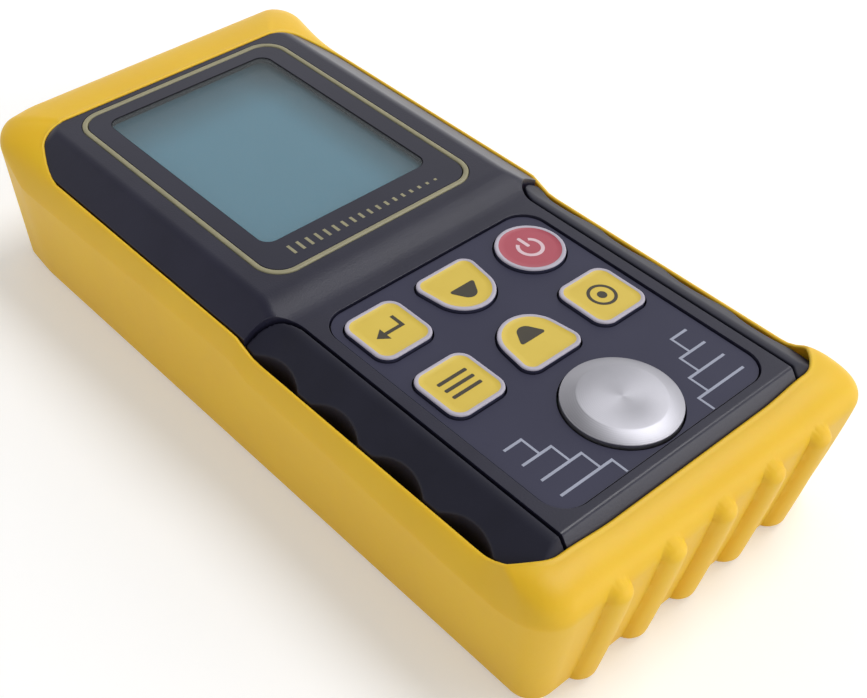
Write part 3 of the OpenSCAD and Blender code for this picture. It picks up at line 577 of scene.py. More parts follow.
# %% A tree of nodes that raises ribs on the wall
ribs = Tree("upright ribs", Count="Float", Pitch="Float", Width="Float", Height="Float", Top="Float")
point = ribs.node("ShaderNodeSeparateXYZ", Vector=ribs.node("GeometryNodeInputPosition").outputs[0])
share = ribs.node("GeometryNodeInputNamedAttribute", Name="rib_share")
share.data_type = "FLOAT"
half = ribs.sum("MULTIPLY", ribs.given("Width"), 0.5)
last = ribs.sum("SUBTRACT", ribs.given("Count"), 1.0)
mid = ribs.sum("MULTIPLY", last, 0.5)
index = ribs.sum("ROUND", ribs.sum("ADD", ribs.sum("DIVIDE", point.outputs["X"], ribs.given("Pitch")), mid))
index = ribs.sum("MINIMUM", ribs.sum("MAXIMUM", index, 0.0), last)
centre = ribs.sum("MULTIPLY", ribs.sum("SUBTRACT", index, mid), ribs.given("Pitch"))
across = ribs.sum("DIVIDE", ribs.sum("SUBTRACT", point.outputs["X"], centre), half)
over = ribs.sum("ADD", ribs.sum("SUBTRACT", point.outputs["Z"], ribs.given("Top")), half)
up = ribs.sum("MAXIMUM", ribs.sum("DIVIDE", over, half), 0.0)
away = ribs.sum("ADD", ribs.sum("MULTIPLY", across, across), ribs.sum("MULTIPLY", up, up))
bulge = ribs.sum("SQRT", ribs.sum("MAXIMUM", ribs.sum("SUBTRACT", 1.0, away), 0.0))
push = ribs.sum("MULTIPLY", bulge, ribs.given("Height"))
push = ribs.sum("MULTIPLY", ribs.sum("MULTIPLY", push, share.outputs["Attribute"]), -1.0)
move = ribs.node("GeometryNodeSetPosition", Geometry=ribs.start.outputs[0],
                 Offset=ribs.node("ShaderNodeCombineXYZ", Y=push).outputs[0])
ribs.finish(move.outputs[0])
ribs.apply(boot, **{key: value if key == "Count" else value * MM for key, value in RIB.items()})
print("ribs raised on", boot.name)

# %% [markdown]
# At the display end a long slot leaves room for the probe's two plugs. It is cut with a Boolean, which is
# the plain way to put a clean hole through a thick wall.

# %% Cut the port and fit the boot
PORT_W, PORT_H = 38.0, 12.5
socket_x, _, socket_z = middle("right_socket")
port_r = PORT_H / 2 - 0.1
port = outline(corners(-PORT_W / 2, PORT_W / 2, socket_z - PORT_H / 2, socket_z + PORT_H / 2, port_r), steps=64)
combine(boot, prism(port, "y", far_y - 2, boot_high[1] + 2))
shade(boot, 50)
fit(boot, node="boot")

# %% [markdown]
# The front housing starts as the housing's own skin above the parting line. The keypad lies a step lower
# than the display, and a soft ramp joins them. A cut would leave creases there, so the points are lowered
# instead, and the same folds lead to the lower face. Prisms then cut what a mould would leave open: the
# recesses for grips, lens and panel, and the space inside.

# %% The front housing's form
HOUSING_COUNTS = (1, 16, 110, 1)
panel_low, panel_high = box_mm("keypad_panel")
trim_low, trim_high = box_mm("window_trim")
ramp_top, ramp_end = trim_low[1] - 1.0, panel_high[1] + 1.2
heights = [parting_z, face_z - NEAR_DROP, face_z - FAR_DROP] + [shoulder_z + h for _, h in SIDE]
heights += [shoulder_z + a * SIDE_DROP / SIDE_RUN for a, _ in slope(SIDE_RUN, SIDE_DROP, FACE_STEP)[1:]]
heights.sort()


def housing_skin(form=lambda x, y, z: (x, y, z)):
    around = stations(HOUSING_COUNTS)
    points, faces = skin([[form(*housing_point(j, HOUSING_COUNTS, z)) for j in around] for z in heights])
    top, n = len(points) - len(around), len(around)
    rows = [(top + 1 + k, top + (n - k) % n) for k in range(2 * HOUSING_COUNTS[1] + HOUSING_COUNTS[2] + 1)]
    faces[-1:] = [(a, b, d, c) for (a, c), (b, d) in zip(rows, rows[1:])]
    return points, faces


def lowered(x, y, z):
    step = FACE_STEP * smooth(ramp_top, ramp_end, y)
    side = shoulder_z + rise(slope(SIDE_RUN, SIDE_DROP, step), half_w - abs(x))
    near = face_z - NEAR_DROP + rise(slope(NEAR_RUN, NEAR_DROP, step, NEAR_FOLD), y - near_y)
    return x, y, min(z, side, near)


front = make("front_shell", housing_skin(lowered), housing_plastic)
print("front shell:", len(front.data.polygons), "faces")

# %% Cut the recesses and the inside
GROOVE_X, GRIP_R, GRIP_STEPS, WALL, EDGE_R = 27.5, 6.5, 12, 2.2, 0.12
grip_z = box_mm("right_grip")[0][2]


def grip_plan(gap, outer):
    x0, y1 = GROOVE_X + gap, grip_y - gap
    bend = [(x0 + GRIP_R * (1 - math.sin(a)), y1 - GRIP_R * (1 - math.cos(a)))
            for a in (math.pi / 2 * i / GRIP_STEPS for i in range(GRIP_STEPS + 1))]
    return [(x0, near_y - 1), *outer, *bend]


plain_side = [(half_w + 1, near_y - 1), (half_w + 1, grip_y)]
recess = grip_plan(0.0, plain_side)
combine(front, prism(recess, "z", grip_z, face_z + 2))
combine(front, prism([(-x, y) for x, y in recess], "z", grip_z, face_z + 2))
SEAT_GAP = 0.15


def seat(low, high, r, grow=SEAT_GAP):
    return outline(corners(low[0], high[0], low[1], high[1], r), grow)


LENS_R, PANEL_R, LEDGE = 5.6, 5.0, 2.3
combine(front, prism(seat(trim_low, trim_high, LENS_R), "z", trim_low[2], face_z + 1))
combine(front, prism(seat(panel_low, panel_high, PANEL_R), "z", panel_low[2], face_z + 1))
WEB, SHELF = 0.8, 1.0
inner_x, inner_z = GROOVE_X - WALL, panel_low[2] - WEB
combine(front, block(-inner_x, inner_x, near_y + insets(inner_z)[1] + WALL, ramp_top, parting_z - 1, inner_z))
shelf_z = shoulder_z - SHELF
shelf_x = half_w - insets(shelf_z)[0] - WALL
combine(front, block(-shelf_x, shelf_x, grip_y + WALL, far_y - WALL - 0.2, parting_z - 1, shelf_z))
combine(front, prism(seat(trim_low, trim_high, LENS_R, -LEDGE), "z", shelf_z - 1, face_z + 1))
print("front shell:", len(front.data.polygons), "faces")

# %% Cut the key holes, the disc's pocket and the socket holes
KEY_FLANGE, KEY_GAP, SHIELD_CORNER, SQUARE_CORNER = 0.8, 0.3, 2.4, 2.8
DISC_GAP, SOCKET_HOLE_R, HOLE_STEPS = 0.3, 3.65, 64
KEYS = {"enter": "square", "down": "shield", "power": "round", "memory": "square", "up": "shield",
        "calibration": "square"}


def key_circles(name):
    low, high = box_mm(name + "_key")
    x, y = (low[0] + high[0]) / 2, (low[1] + high[1]) / 2
    half_x, half_y = (high[0] - low[0]) / 2 - KEY_FLANGE, (high[1] - low[1]) / 2 - KEY_FLANGE
    if KEYS[name] == "round":
        return [(x, y, half_x)]
    if KEYS[name] == "square":
        return corners(x - half_x, x + half_x, y - half_y, y + half_y, SQUARE_CORNER)
    lift = (half_y - SHIELD_CORNER) * (1 if name == "down" else -1)
    return [(x, y, half_y)] + [(x + s * (half_x - SHIELD_CORNER), y + lift, SHIELD_CORNER) for s in (-1, 1)]


disc_x, disc_y = middle("calibration_disc")[:2]
disc_low, disc_high = box_mm("calibration_disc")
disc_r = (disc_high[0] - disc_low[0]) / 2
for name in KEYS:
    combine(front, prism(outline(key_circles(name), KEY_GAP, HOLE_STEPS), "z", inner_z - 1, face_z))
combine(front, prism(outline([(disc_x, disc_y, disc_r)], DISC_GAP, HOLE_STEPS), "z", disc_low[2] - 0.2, face_z))
for side in (-1, 1):
    hole = outline([(side * socket_x, socket_z, SOCKET_HOLE_R)], steps=48)
    combine(front, prism(hole, "y", far_y - 4, far_y + 1))
flatten(front.data)
round_edges(front, EDGE_R, 2, 38)
fit(front, node="front_housing")

# %% [markdown]
# The grips are soft inserts, lower than the shoulder, with finger hollows along the outside. Cutting them
# out of the housing's form keeps them flush with it. A voxel remesh and a little smoothing then give them
# the soft edges of rubber, which a bevel can't do where the cuts meet at odd angles.

# %% Make one grip and its mirror image
GROOVE_W, HOLLOW_FIRST, HOLLOW_PITCH, HOLLOW_R, HOLLOW_DEPTH = 0.5, 8.4, 15.1, 10.0, 1.9
HOLLOW_COUNT, HOLLOW_STEPS, HOLLOW_OVER = 4, 16, 0.4
GRIP_VOXEL, GRIP_SMOOTH, GRIP_LIFT_REACH = 0.24, 6, 5.0


def hollow_side():
    points = [(half_w + 1, near_y - 1)]
    middle_x = half_w + HOLLOW_R - HOLLOW_DEPTH
    reach = math.acos((middle_x - half_w - HOLLOW_OVER) / HOLLOW_R)
    for i in reversed(range(HOLLOW_COUNT)):
        y = grip_y - HOLLOW_FIRST - i * HOLLOW_PITCH
        for k in range(HOLLOW_STEPS + 1):
            a = mix(-reach, reach, k / HOLLOW_STEPS)
            points.append((middle_x - HOLLOW_R * math.cos(a), y + HOLLOW_R * math.sin(a)))
    return points + [(half_w + 1, grip_y - GROOVE_W)]


def grip_profile():
    top_z, out = key_face_z - 0.05, 0.15
    edge_z = top_z - GRIP_DROP
    fold = [(half_w - a, edge_z + h) for a, h in reversed(slope(SIDE_RUN, GRIP_DROP)[1:])]
    foot = [(half_w + out, edge_z - out * GRIP_DROP / SIDE_RUN), (half_w + out, grip_z - 1)]
    return [(GROOVE_X, grip_z - 1), (GROOVE_X, top_z), *fold, *foot]


grip = make("right_grip_rubber", prism(grip_plan(GROOVE_W, hollow_side()), "z", grip_z, face_z), grip_rubber)
combine(grip, prism(grip_profile(), "y", near_y - 1, far_y), "INTERSECT")
combine(grip, housing_skin(), "INTERSECT")
remesh = grip.modifiers.new("even skin", "REMESH")
remesh.mode, remesh.voxel_size = "VOXEL", GRIP_VOXEL * MM
soften = grip.modifiers.new("soft edges", "SMOOTH")
soften.factor, soften.iterations = 0.5, GRIP_SMOOTH
settle(grip)
for v in grip.data.vertices:
    lift = FACE_STEP * MM * (1 - smooth(ramp_top, ramp_end, v.co.y / MM))
    v.co.z += lift * clamp((v.co.z / MM - grip_z) / GRIP_LIFT_REACH)
shade(grip, 180)
other = add("left_grip_rubber", grip.data.copy())
for v in other.data.vertices:
    v.co.x = -v.co.x
other.data.flip_normals()
for piece, node in ((grip, "right_grip"), (other, "left_grip")):
    if not piece.data.materials:
        piece.data.materials.append(grip_rubber)
    fit(piece, node=node)

# %% [markdown]
# The window: a thin trim line stands a little proud, the lens inside it carries a dark printed mask, and
# the screen lies a millimetre lower, so the mask's edge throws a soft shadow on it. The screen's colour
# also carries a painted shade, darker towards its right and far edges.

# %% Trim, mask, pane and screen
VIEW_HALF, VIEW_LOW, VIEW_HIGH, VIEW_R = 19.76, trim_low[1] + 8.95, trim_high[1] - 4.55, 2.5
TRIM_W, WINDOW_STEPS = 1.0, 128
trim_band = corners(trim_low[0], trim_high[0], trim_low[1], trim_high[1], LENS_R)
trim_profile = [(0.0, trim_low[2]), (0.0, face_z + 0.02), (-0.14, face_z + 0.12), (-0.35, trim_high[2]),
                (-0.65, trim_high[2]), (-0.86, face_z + 0.12), (-TRIM_W, face_z + 0.02), (-TRIM_W, trim_low[2])]
trim_rings = [level(outline(trim_band, g, WINDOW_STEPS), z) for g, z in trim_profile]
trim = make("trim_line", skin(trim_rings, closed=True), gold_print)
fit(shade(trim, 60), node="window_trim")

lens_low, lens_high = box_mm("window_lens")
lens_band = corners(lens_low[0], lens_high[0], lens_low[1], lens_high[1], LENS_R - TRIM_W)
view_band = corners(-VIEW_HALF, VIEW_HALF, VIEW_LOW, VIEW_HIGH, VIEW_R)
mask_profile = [(lens_band, 0.0, lens_low[2]), (lens_band, 0.0, face_z - 0.08), (lens_band, -0.08, face_z),
                (view_band, 0.15, face_z), (view_band, 0.0, face_z - 0.1), (view_band, 0.0, lens_low[2])]
mask_rings = [level(outline(band, g, WINDOW_STEPS), z) for band, g, z in mask_profile]
mask = make("window_mask", skin(mask_rings, closed=True), mask_print, painted_shade_edge)
# the mask's inner wall takes the painted shade finish
for face in list(mask.data.polygons)[3 * WINDOW_STEPS:5 * WINDOW_STEPS]:
    face.material_index = 1
fit(shade(mask, 30), node="window_lens")
print("view area %.1f x %.1f mm" % (2 * VIEW_HALF, VIEW_HIGH - VIEW_LOW))

# %% The clear pane over the screen
PANE_TOP, PANE_FOOT, PANE_LAP = 0.15, 0.3, 0.3
pane_clear, pane_bsdf = plain("clear pane")
# painted reflection: the pale base colour at low alpha lays a faint haze over the screen
pane_bsdf.inputs["Base Color"].default_value = (0.6, 0.66, 0.68, 1)
pane_bsdf.inputs["Roughness"].default_value = 0.12
pane_bsdf.inputs["Alpha"].default_value = 0.06
pane_band = outline(view_band, PANE_LAP, 96)
pane = make("window_pane", prism(pane_band, "z", face_z - PANE_FOOT, face_z - PANE_TOP), pane_clear)
fit(shade(pane, 30))


# %% Spread a shader value over a range, and join values
def spread(tree, source, low, high, to_low, to_high):
    """Map a value from one range to another, softly at both ends."""
    node = tree.nodes.new("ShaderNodeMapRange")
    node.interpolation_type = "SMOOTHSTEP"
    for key, value in (("From Min", low), ("From Max", high), ("To Min", to_low), ("To Max", to_high)):
        node.inputs[key].default_value = value
    tree.links.new(source, node.inputs["Value"])
    return node.outputs["Result"]


def joined(tree, operation, total, *others):
    """Join values by one operation, each with what came before it."""
    for other in others:
        node = tree.nodes.new("ShaderNodeMath")
        node.operation = operation
        tree.links.new(total, node.inputs[0])
        tree.links.new(other, node.inputs[1])
        total = node.outputs[0]
    return total


# %% The screen, darker where the mask shades it
GLASS_R = 1.5
screen_grey = finish("screen", (0.083, 0.216, 0.293), (0.078, 0.208, 0.284), (0.34, 0.4), 0.5, 25, 0.0,
                     specular_ior_level=0.35)
tree = screen_grey.node_tree
nodes, links = tree.nodes, tree.links
across, painted_edge_shade = nodes.new("ShaderNodeSeparateXYZ"), nodes.new("ShaderNodeVectorMath")
painted_edge_shade.operation = "SCALE"
links.new(nodes.new("ShaderNodeTexCoord").outputs["Object"], across.inputs["Vector"])
# painted shade: the screen's colour darkens towards its right and far edges, where the mask's shadow falls
shades = [spread(tree, across.outputs[axis], (edge - reach) * MM, edge * MM, 1.0, dim)
          for axis, edge, reach, dim in (("X", VIEW_HALF, 12.0, 0.4), ("Y", VIEW_HIGH, 16.0, 0.4))]
base = nodes["Principled BSDF"].inputs["Base Color"]
links.new(base.links[0].from_socket, painted_edge_shade.inputs[0])
links.new(joined(tree, "MULTIPLY", *shades), painted_edge_shade.inputs["Scale"])
links.new(painted_edge_shade.outputs[0], base)
glass_low, glass_high = box_mm("display_glass")
glass_band = corners(glass_low[0], glass_high[0], glass_low[1], glass_high[1], GLASS_R)
glass_plan = outline(glass_band, steps=64)
screen = make("screen_glass", prism(glass_plan, "z", glass_low[2], glass_high[2]), screen_grey)
fit(shade(screen, 30), node="display_glass")

# %% [markdown]
# The keypad panel is a printed film with openings for the keys and the disc. Its edges carry a dark, dull
# painted shade, so a fine line like a gap's shadow runs round it and round each opening. It could be a
# plane with a drawn line, but real edges also show from the side.

# %% The keypad panel
PANEL_GROOVE, PANEL_EDGE_R = 0.12, 0.1
panel_plan = seat(panel_low, panel_high, PANEL_R, -PANEL_GROOVE)
panel = make("keypad_film", prism(panel_plan, "z", panel_low[2], panel_high[2]), panel_film, painted_shade_edge)
for name in KEYS:
    combine(panel, prism(outline(key_circles(name), KEY_GAP, HOLE_STEPS), "z", panel_low[2] - 1, face_z))
combine(panel, prism(outline([(disc_x, disc_y, disc_r)], DISC_GAP, 96), "z", panel_low[2] - 1, face_z))
flatten(panel.data)
round_edges(panel, PANEL_EDGE_R, 2, 40)
# the panel's side faces take the painted shade finish, a fine dark line like a gap's shadow
for face in panel.data.polygons:
    face.material_index = 1 if face.normal.z < 0.6 else 0
fit(panel, node="keypad_panel")

# %% [markdown]
# Each key is a soft dark cap with a rounded edge, and a pale border and a coloured field printed on it.
# Outlines of one family give the wall, the rounding and the border, so every key comes from the same few
# rings, and the faces take their print by their place in that order.

# %% The keys
KEY_ROUND, KEY_BORDER, FIELD_SINK = 0.28, 0.7, 0.03
KEY_STEPS, KEY_STOP, FLANGE_T, STEM_R, FIELD_RUN = 96, 0.1, 0.8, 2.0, 1.2
BORDER_RING, FIELD_RING = 5, 11


def make_key(name, field):
    low, high = box_mm(name + "_key")
    circles, top, flange = key_circles(name), high[2], inner_z - KEY_STOP
    stem = outline([(*middle(name + "_key")[:2], STEM_R)], steps=KEY_STEPS)
    bends = [math.radians(a) for a in (0, 22.5, 45, 67.5, 90)]
    sides = [(KEY_FLANGE, flange - FLANGE_T), (KEY_FLANGE, flange), (0.0, flange)]
    sides += [(-KEY_ROUND * (1 - math.cos(a)), top - KEY_ROUND * (1 - math.sin(a))) for a in bends]
    sides += [(-KEY_BORDER, top), (-KEY_BORDER - 0.04, top - FIELD_SINK),
              (-KEY_BORDER - FIELD_RUN, top - FIELD_SINK)]
    rings = [level(stem, low[2]), level(stem, flange - FLANGE_T)]
    rings += [level(outline(circles, g, KEY_STEPS), z) for g, z in sides]
    key = make(name + "_cap", skin(rings), panel_film, key_border, field)
    faces = list(key.data.polygons)
    border, inner = BORDER_RING * KEY_STEPS, FIELD_RING * KEY_STEPS
    for face in faces[border:inner]:
        face.material_index = 1
    for face in faces[inner:inner + KEY_STEPS] + faces[-1:]:
        face.material_index = 2
    return key, top - FIELD_SINK


key_tops = {}
for name in KEYS:
    cap, key_tops[name] = make_key(name, key_red if name == "power" else key_yellow)
    fit(shade(cap, 50), name + "_button", name + "_key")

# %% [markdown]
# The symbols are ink: flat shapes a few hundredths of a millimetre thick, lying on the keys' fields.

# %% The keys' symbols
INK = 0.03


def join(*shapes):
    vertices, faces = [], []
    for v, f in shapes:
        faces += [tuple(i + len(vertices) for i in face) for face in f]
        vertices += v
    return vertices, faces


def print_on_key(name, points_list, ink):
    x, y, _ = middle(name + "_key")
    z = key_tops[name]
    shapes = [prism([(x + px, y + py) for px, py in points], "z", z - 0.01, z + INK) for points in points_list]
    symbol = make(name + "_symbol", join(*shapes), ink)
    fit(shade(symbol, 30), name + "_button")


def bar(x0, x1, y0, y1, r=0.25):
    return outline(corners(x0, x1, y0, y1, r), steps=24)


def arc_band(r0, r1, a0, a1, steps=40):
    outer = [(r1 * math.cos(a), r1 * math.sin(a)) for a in (mix(a0, a1, i / steps) for i in range(steps + 1))]
    inner = [(r0 * math.cos(a), r0 * math.sin(a)) for a in (mix(a1, a0, i / steps) for i in range(steps + 1))]
    return outer + inner


def arrow(way):
    return outline([(-2.3, way * 0.2, 0.4), (2.3, way * 0.2, 0.4), (0.0, way * 1.5, 1.7)], steps=48)


POWER_GAP = 35
print_on_key("up", [arrow(1)], dark_print)
print_on_key("down", [arrow(-1)], dark_print)
power_arc = arc_band(1.9, 2.6, math.radians(90 + POWER_GAP), math.radians(450 - POWER_GAP))
print_on_key("power", [power_arc, bar(-0.35, 0.35, 0.3, 3.2)], red_symbol)
print_on_key("memory", [bar(-3.2, 3.2, y - 0.35, y + 0.35) for y in (-1.8, 0.0, 1.8)], dark_print)
RETURN = [(-3.2, -0.6), (-1.2, -2.1), (-1.2, -0.95), (2.9, -0.95), (2.9, 2.2), (2.2, 2.2), (2.2, -0.25),
          (-1.2, -0.25), (-1.2, 0.9)]
print_on_key("enter", [RETURN], dark_print)
target_ring = arc_band(2.1, 2.7, 0.0, math.radians(359.9), 60)
print_on_key("calibration", [target_ring, outline([(0, 0, 0.9)], steps=32)], dark_print)

# %% [markdown]
# The panel carries a print of steps beside the disc, and the window mask a row of shrinking bars like an
# echo. Rows of bars repeat by a rule, so one tree of nodes makes them all: a line of points, a bar on each
# point, its length growing from bar to bar and its start moving sideways.

# %% A tree for rows of bars
bars = Tree("row of bars", Count="Int", Pitch="Float", Shift="Float", First_Length="Float", Step="Float",
            Width="Float", Thickness="Float", Ink="Material")
pace = bars.node("ShaderNodeCombineXYZ", X=bars.given("Shift"), Y=bars.given("Pitch"))
line = bars.node("GeometryNodeMeshLine", Count=bars.given("Count"), Offset=pace.outputs[0])
order = bars.node("GeometryNodeInputIndex").outputs[0]
length = bars.sum("ADD", bars.given("First_Length"), bars.sum("MULTIPLY", order, bars.given("Step")))
size = bars.node("ShaderNodeCombineXYZ", X=length, Y=bars.given("Width"), Z=bars.given("Thickness"))
shifted = bars.node("GeometryNodeSetPosition", Geometry=line.outputs[0],
                    Offset=bars.node("ShaderNodeCombineXYZ", X=bars.sum("MULTIPLY", length, 0.5)).outputs[0])
cube = bars.node("GeometryNodeMeshCube", Size=(1.0, 1.0, 1.0))
placed = bars.node("GeometryNodeInstanceOnPoints", Points=shifted.outputs[0], Instance=cube.outputs[0],
                   Scale=size.outputs[0])
real = bars.node("GeometryNodeRealizeInstances", Geometry=placed.outputs[0])
inked = bars.node("GeometryNodeSetMaterial", Geometry=real.outputs[0], Material=bars.given("Ink"))
bars.finish(inked.outputs[0])


def bar_row(name, place, ink, turn=0.0, flip=1, **sizes):
    obj = make(name, ([(0, 0, 0)], []))
    count = sizes.pop("Count")
    sizes = {key: value * MM for key, value in sizes.items()}
    bars.apply(obj, Count=count, Ink=ink, Thickness=2 * INK * MM, **sizes)
    c, s = math.cos(math.radians(turn)), math.sin(math.radians(turn))
    for v in obj.data.vertices:
        x, y, z = v.co.x * flip, v.co.y, v.co.z
        v.co = (x * c - y * s + place[0] * MM, x * s + y * c + place[1] * MM, z + place[2] * MM)
    tidy_normals(obj.data)
    return obj


TREAD_W, RISER_W, STEP_X, STEP_Y, STEP_COUNT = 0.5, 0.42, 2.53, 3.98, 4
PRINT_EDGE, PRINT_FOOT, PRINT_END, TREAD = 21.85, 3.45, 0.3, 11.65
ECHO_X, ECHO_Y = -17.0, 3.7
for side, tag in ((-1, "left"), (1, "right")):
    foot_y, z = panel_low[1] + PRINT_FOOT, panel_high[2]
    riser_x = side * (PRINT_EDGE - TREAD + RISER_W)
    treads = bar_row(tag + "_treads", (side * PRINT_EDGE, foot_y, z), pale_print, flip=-side, Count=STEP_COUNT,
                     Pitch=STEP_Y, First_Length=TREAD, Step=-STEP_X, Width=TREAD_W)
    risers = bar_row(tag + "_risers", (riser_x + side * STEP_X, foot_y + STEP_Y / 2, z), pale_print,
                     flip=-side, Count=STEP_COUNT - 1, Pitch=STEP_Y, Shift=-STEP_X, First_Length=RISER_W,
                     Width=STEP_Y - TREAD_W)
    foot = PRINT_FOOT - TREAD_W / 2 - PRINT_END
    last = bar_row(tag + "_last_riser", (riser_x, foot_y - (TREAD_W + foot) / 2, z), pale_print,
                   flip=-side, Count=1, First_Length=RISER_W, Width=foot)
    for row in (treads, risers, last):
        fit(row)
echo = bar_row("echo_bars", (ECHO_X, trim_low[1] + ECHO_Y, face_z), gold_print, turn=-90, flip=-1,
               Count=18, Pitch=2.0, First_Length=2.6, Step=-0.12, Width=0.6)
fit(echo)

# %% [markdown]
# The test disc is turned steel: a flat top with fine turning marks, a bevel and a bright rim. Stretched
# highlights round the middle come from the shader's anisotropy, with a radial tangent.

# %% The turned steel
turned = finish("turned steel", (0.46, 0.455, 0.495), (0.43, 0.425, 0.465), (0.45, 0.52), 0.3, 6, 0.0,
                metallic=1.0, anisotropic=0.3)
nodes, links = turned.node_tree.nodes, turned.node_tree.links
tangent = nodes.new("ShaderNodeTangent")
tangent.direction_type, tangent.axis = "RADIAL", "Z"
links.new(tangent.outputs["Tangent"], nodes["Principled BSDF"].inputs["Tangent"])
place, centre_on_disc = nodes.new("ShaderNodeTexCoord"), nodes.new("ShaderNodeMapping")
marks, groove = nodes.new("ShaderNodeTexWave"), nodes.new("ShaderNodeBump")
centre_on_disc.inputs["Location"].default_value = (-disc_x * MM, -disc_y * MM, 0)
marks.wave_type, marks.rings_direction = "RINGS", "Z"
marks.inputs["Scale"].default_value, marks.inputs["Distortion"].default_value = 900.0, 0.6
groove.inputs["Distance"].default_value = 0.004 * MM
links.new(place.outputs["Object"], centre_on_disc.inputs["Vector"])
links.new(centre_on_disc.outputs["Vector"], marks.inputs["Vector"])
links.new(marks.outputs["Fac"], groove.inputs["Height"])
links.new(groove.outputs["Normal"], nodes["Principled BSDF"].inputs["Normal"])
print("finish:", turned.name)

# %% The disc
DISC_BEVEL, FLAT_SHARE, DISC_STEPS = 0.85, 0.74, 128
flat_r, disc_top = disc_r * FLAT_SHARE, disc_high[2]
profile = [(disc_r - 0.2, disc_low[2]), (disc_r, disc_low[2] + 0.2), (disc_r, disc_top - DISC_BEVEL - 0.12),
           (disc_r - 0.05, disc_top - DISC_BEVEL - 0.03), (disc_r - 0.16, disc_top - DISC_BEVEL + 0.03),
           (flat_r + 0.1, disc_top - 0.03), (flat_r - 0.06, disc_top), (flat_r * 0.5, disc_top),
           (0.4, disc_top)]
disc_rings = [level(outline([(disc_x, disc_y, r)], steps=DISC_STEPS), z) for r, z in profile]
disc = make("test_disc", skin(disc_rings), turned)
fit(shade(disc, 25), node="calibration_disc")


# %% [markdown]
# What is left are simple turned and moulded pieces. A copy of the solid is enough: its points are merged,
# its flat triangles become whole faces again, and a small bevel gives its edges light.

# %% Polish copies of the simple solids
def polished(node, material, edge=0.15, angle=35):
    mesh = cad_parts[node].data.copy()
    flatten(mesh)
    mesh.materials.clear()
    mesh.materials.append(material)
    obj = add(node + "_dressed", mesh)
    if edge:
        round_edges(obj, edge, 2, angle)
    else:
        shade(obj, angle)
    return fit(obj, node=node)


for node, material, slot, edge in (
        ("rear_housing", housing_plastic, "housing_plastic", 0.0),
        ("battery_door", housing_plastic, "housing_plastic", 0.15),
        ("door_screw", steel, "steel", 0.1), ("left_socket", plated, "socket_metal", 0.12),
        ("right_socket", plated, "socket_metal", 0.12), ("socket_nuts", plated, "socket_metal", 0.1),
        ("socket_cores", white_plastic, "insulator", 0.05), ("housing_screws", steel, "steel", 0.1),
        ("board_screws", steel, "steel", 0.0), ("main_board", board_mask, "board", 0.0),
        ("battery_cells", cell_jacket, "cell", 0.2), ("battery_contacts", plated, "spring_metal", 0.0),
        ("key_domes", plated, "spring_metal", 0.0), ("display_holder", white_plastic, "diffuser", 0.0),
        ("display_backlight", white_plastic, "diffuser", 0.0)):
    polished(node, material, edge)

# %% [markdown]
# The stage is a wide pale floor under a studio sky that is white low down and dimmer overhead, with one
# large soft lamp and a small card in front. Light Path lifts the floor to white for the camera and for
# reflections, a little where the shadow falls and wholly further out, while the light on the object stays
# plain.

# %% Floor
FLOOR, FLOOR_LIFT, SHADOW_REACH, WHITE_FROM = 3000.0, 0.28, 110.0, 380.0
floor_pale, floor_bsdf = plain("pale floor")
floor_bsdf.inputs["Base Color"].default_value = (0.82, 0.82, 0.82, 1)
floor_bsdf.inputs["Roughness"].default_value = 0.9
floor_bsdf.inputs["Emission Color"].default_value = (1, 1, 1, 1)
tree = floor_pale.node_tree
nodes, links = tree.nodes, tree.links
seen_by, far_out = nodes.new("ShaderNodeLightPath"), nodes.new("ShaderNodeVectorMath")
far_out.operation = "LENGTH"
links.new(nodes.new("ShaderNodeTexCoord").outputs["Object"], far_out.inputs[0])
fade = spread(tree, far_out.outputs["Value"], SHADOW_REACH * MM, WHITE_FROM * MM, FLOOR_LIFT, 1.0)
rays = [seen_by.outputs["Is %s Ray" % ray] for ray in ("Camera", "Glossy", "Transmission")]
seen = joined(tree, "MAXIMUM", *rays)
links.new(joined(tree, "MULTIPLY", fade, seen), floor_bsdf.inputs["Emission Strength"])
floor_corners = [(x * FLOOR, y * FLOOR, 0) for x, y in ((-1, -1), (1, -1), (1, 1), (-1, 1))]
floor = make("floor", (floor_corners, [(0, 1, 2, 3)]), floor_pale)
floor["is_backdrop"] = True
print("floor %.0f m wide" % (2 * FLOOR * MM))

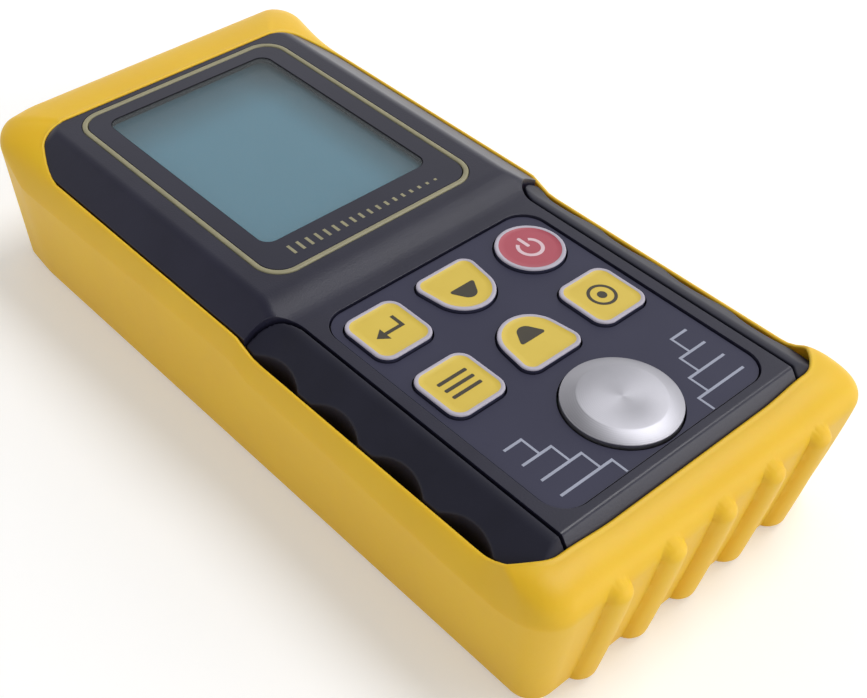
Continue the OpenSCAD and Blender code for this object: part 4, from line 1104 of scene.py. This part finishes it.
# %% Sky
SKY_LOW, SKY_HIGH, SKY_AXIS = 1.0, 0.2, (-0.16, 0.1, 0.98)
SKY_FROM, SKY_TO = 0.3, 0.9
world = bpy.data.worlds.new("studio sky")
bpy.context.scene.world = world
world.use_nodes = True
nodes, links = world.node_tree.nodes, world.node_tree.links
height = nodes.new("ShaderNodeVectorMath")
height.operation = "DOT_PRODUCT"
height.inputs[1].default_value = SKY_AXIS
links.new(nodes.new("ShaderNodeTexCoord").outputs["Generated"], height.inputs[0])
fall = spread(world.node_tree, height.outputs["Value"], SKY_FROM, SKY_TO, SKY_LOW, SKY_HIGH)
nodes["Background"].inputs["Color"].default_value = (1, 1, 1, 1)
links.new(fall, nodes["Background"].inputs["Strength"])
bpy.context.scene.view_settings.view_transform = "Standard"
print("sky from", SKY_LOW, "to", SKY_HIGH)


# %% Lamps
def lamp(name, place, target, size, energy):
    data = bpy.data.lights.new(name, "AREA")
    data.shape, data.size, data.energy = "DISK", size * MM, energy
    obj = add(name, data)
    obj.location = [v * MM for v in place]
    way = obj.location.copy()
    way.x, way.y, way.z = (target[i] * MM - obj.location[i] for i in range(3))
    obj.rotation_euler = way.to_track_quat("-Z", "Y").to_euler()
    return obj


lamp("key light", (1010, -160, 2000), (0, 0, 20), 1200, 23.5)
lamp("front card", (560, -800, 300), (0, 0, 20), 450, 1.3)
print("stage set")

# %% [markdown]
# The camera stands where the photograph was taken from: a short way off the near left corner, looking down.

# %% Camera
CAMERA_PLACE = (-140.368, -147.744, 190.705)
CAMERA_TURN = (47.286, -0.219, -40.264)
CAMERA_LENS, CAMERA_SHIFT = 59.217, 0.12
view = bpy.data.cameras.new("view")
view.lens, view.sensor_width, view.shift_x = CAMERA_LENS, 36.0, CAMERA_SHIFT
view.clip_start = 0.01
camera = add("view", view)
camera.location = [v * MM for v in CAMERA_PLACE]
camera.rotation_euler = [math.radians(v) for v in CAMERA_TURN]
bpy.context.scene.camera = camera
print("camera at", CAMERA_PLACE)

# %% Sizes for comparison, and the end
shown_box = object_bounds()
for tag, box in (("cad", cad_box), ("visual", shown_box)):
    print(tag, [[round(c / MM, 2) for c in v] for v in box])
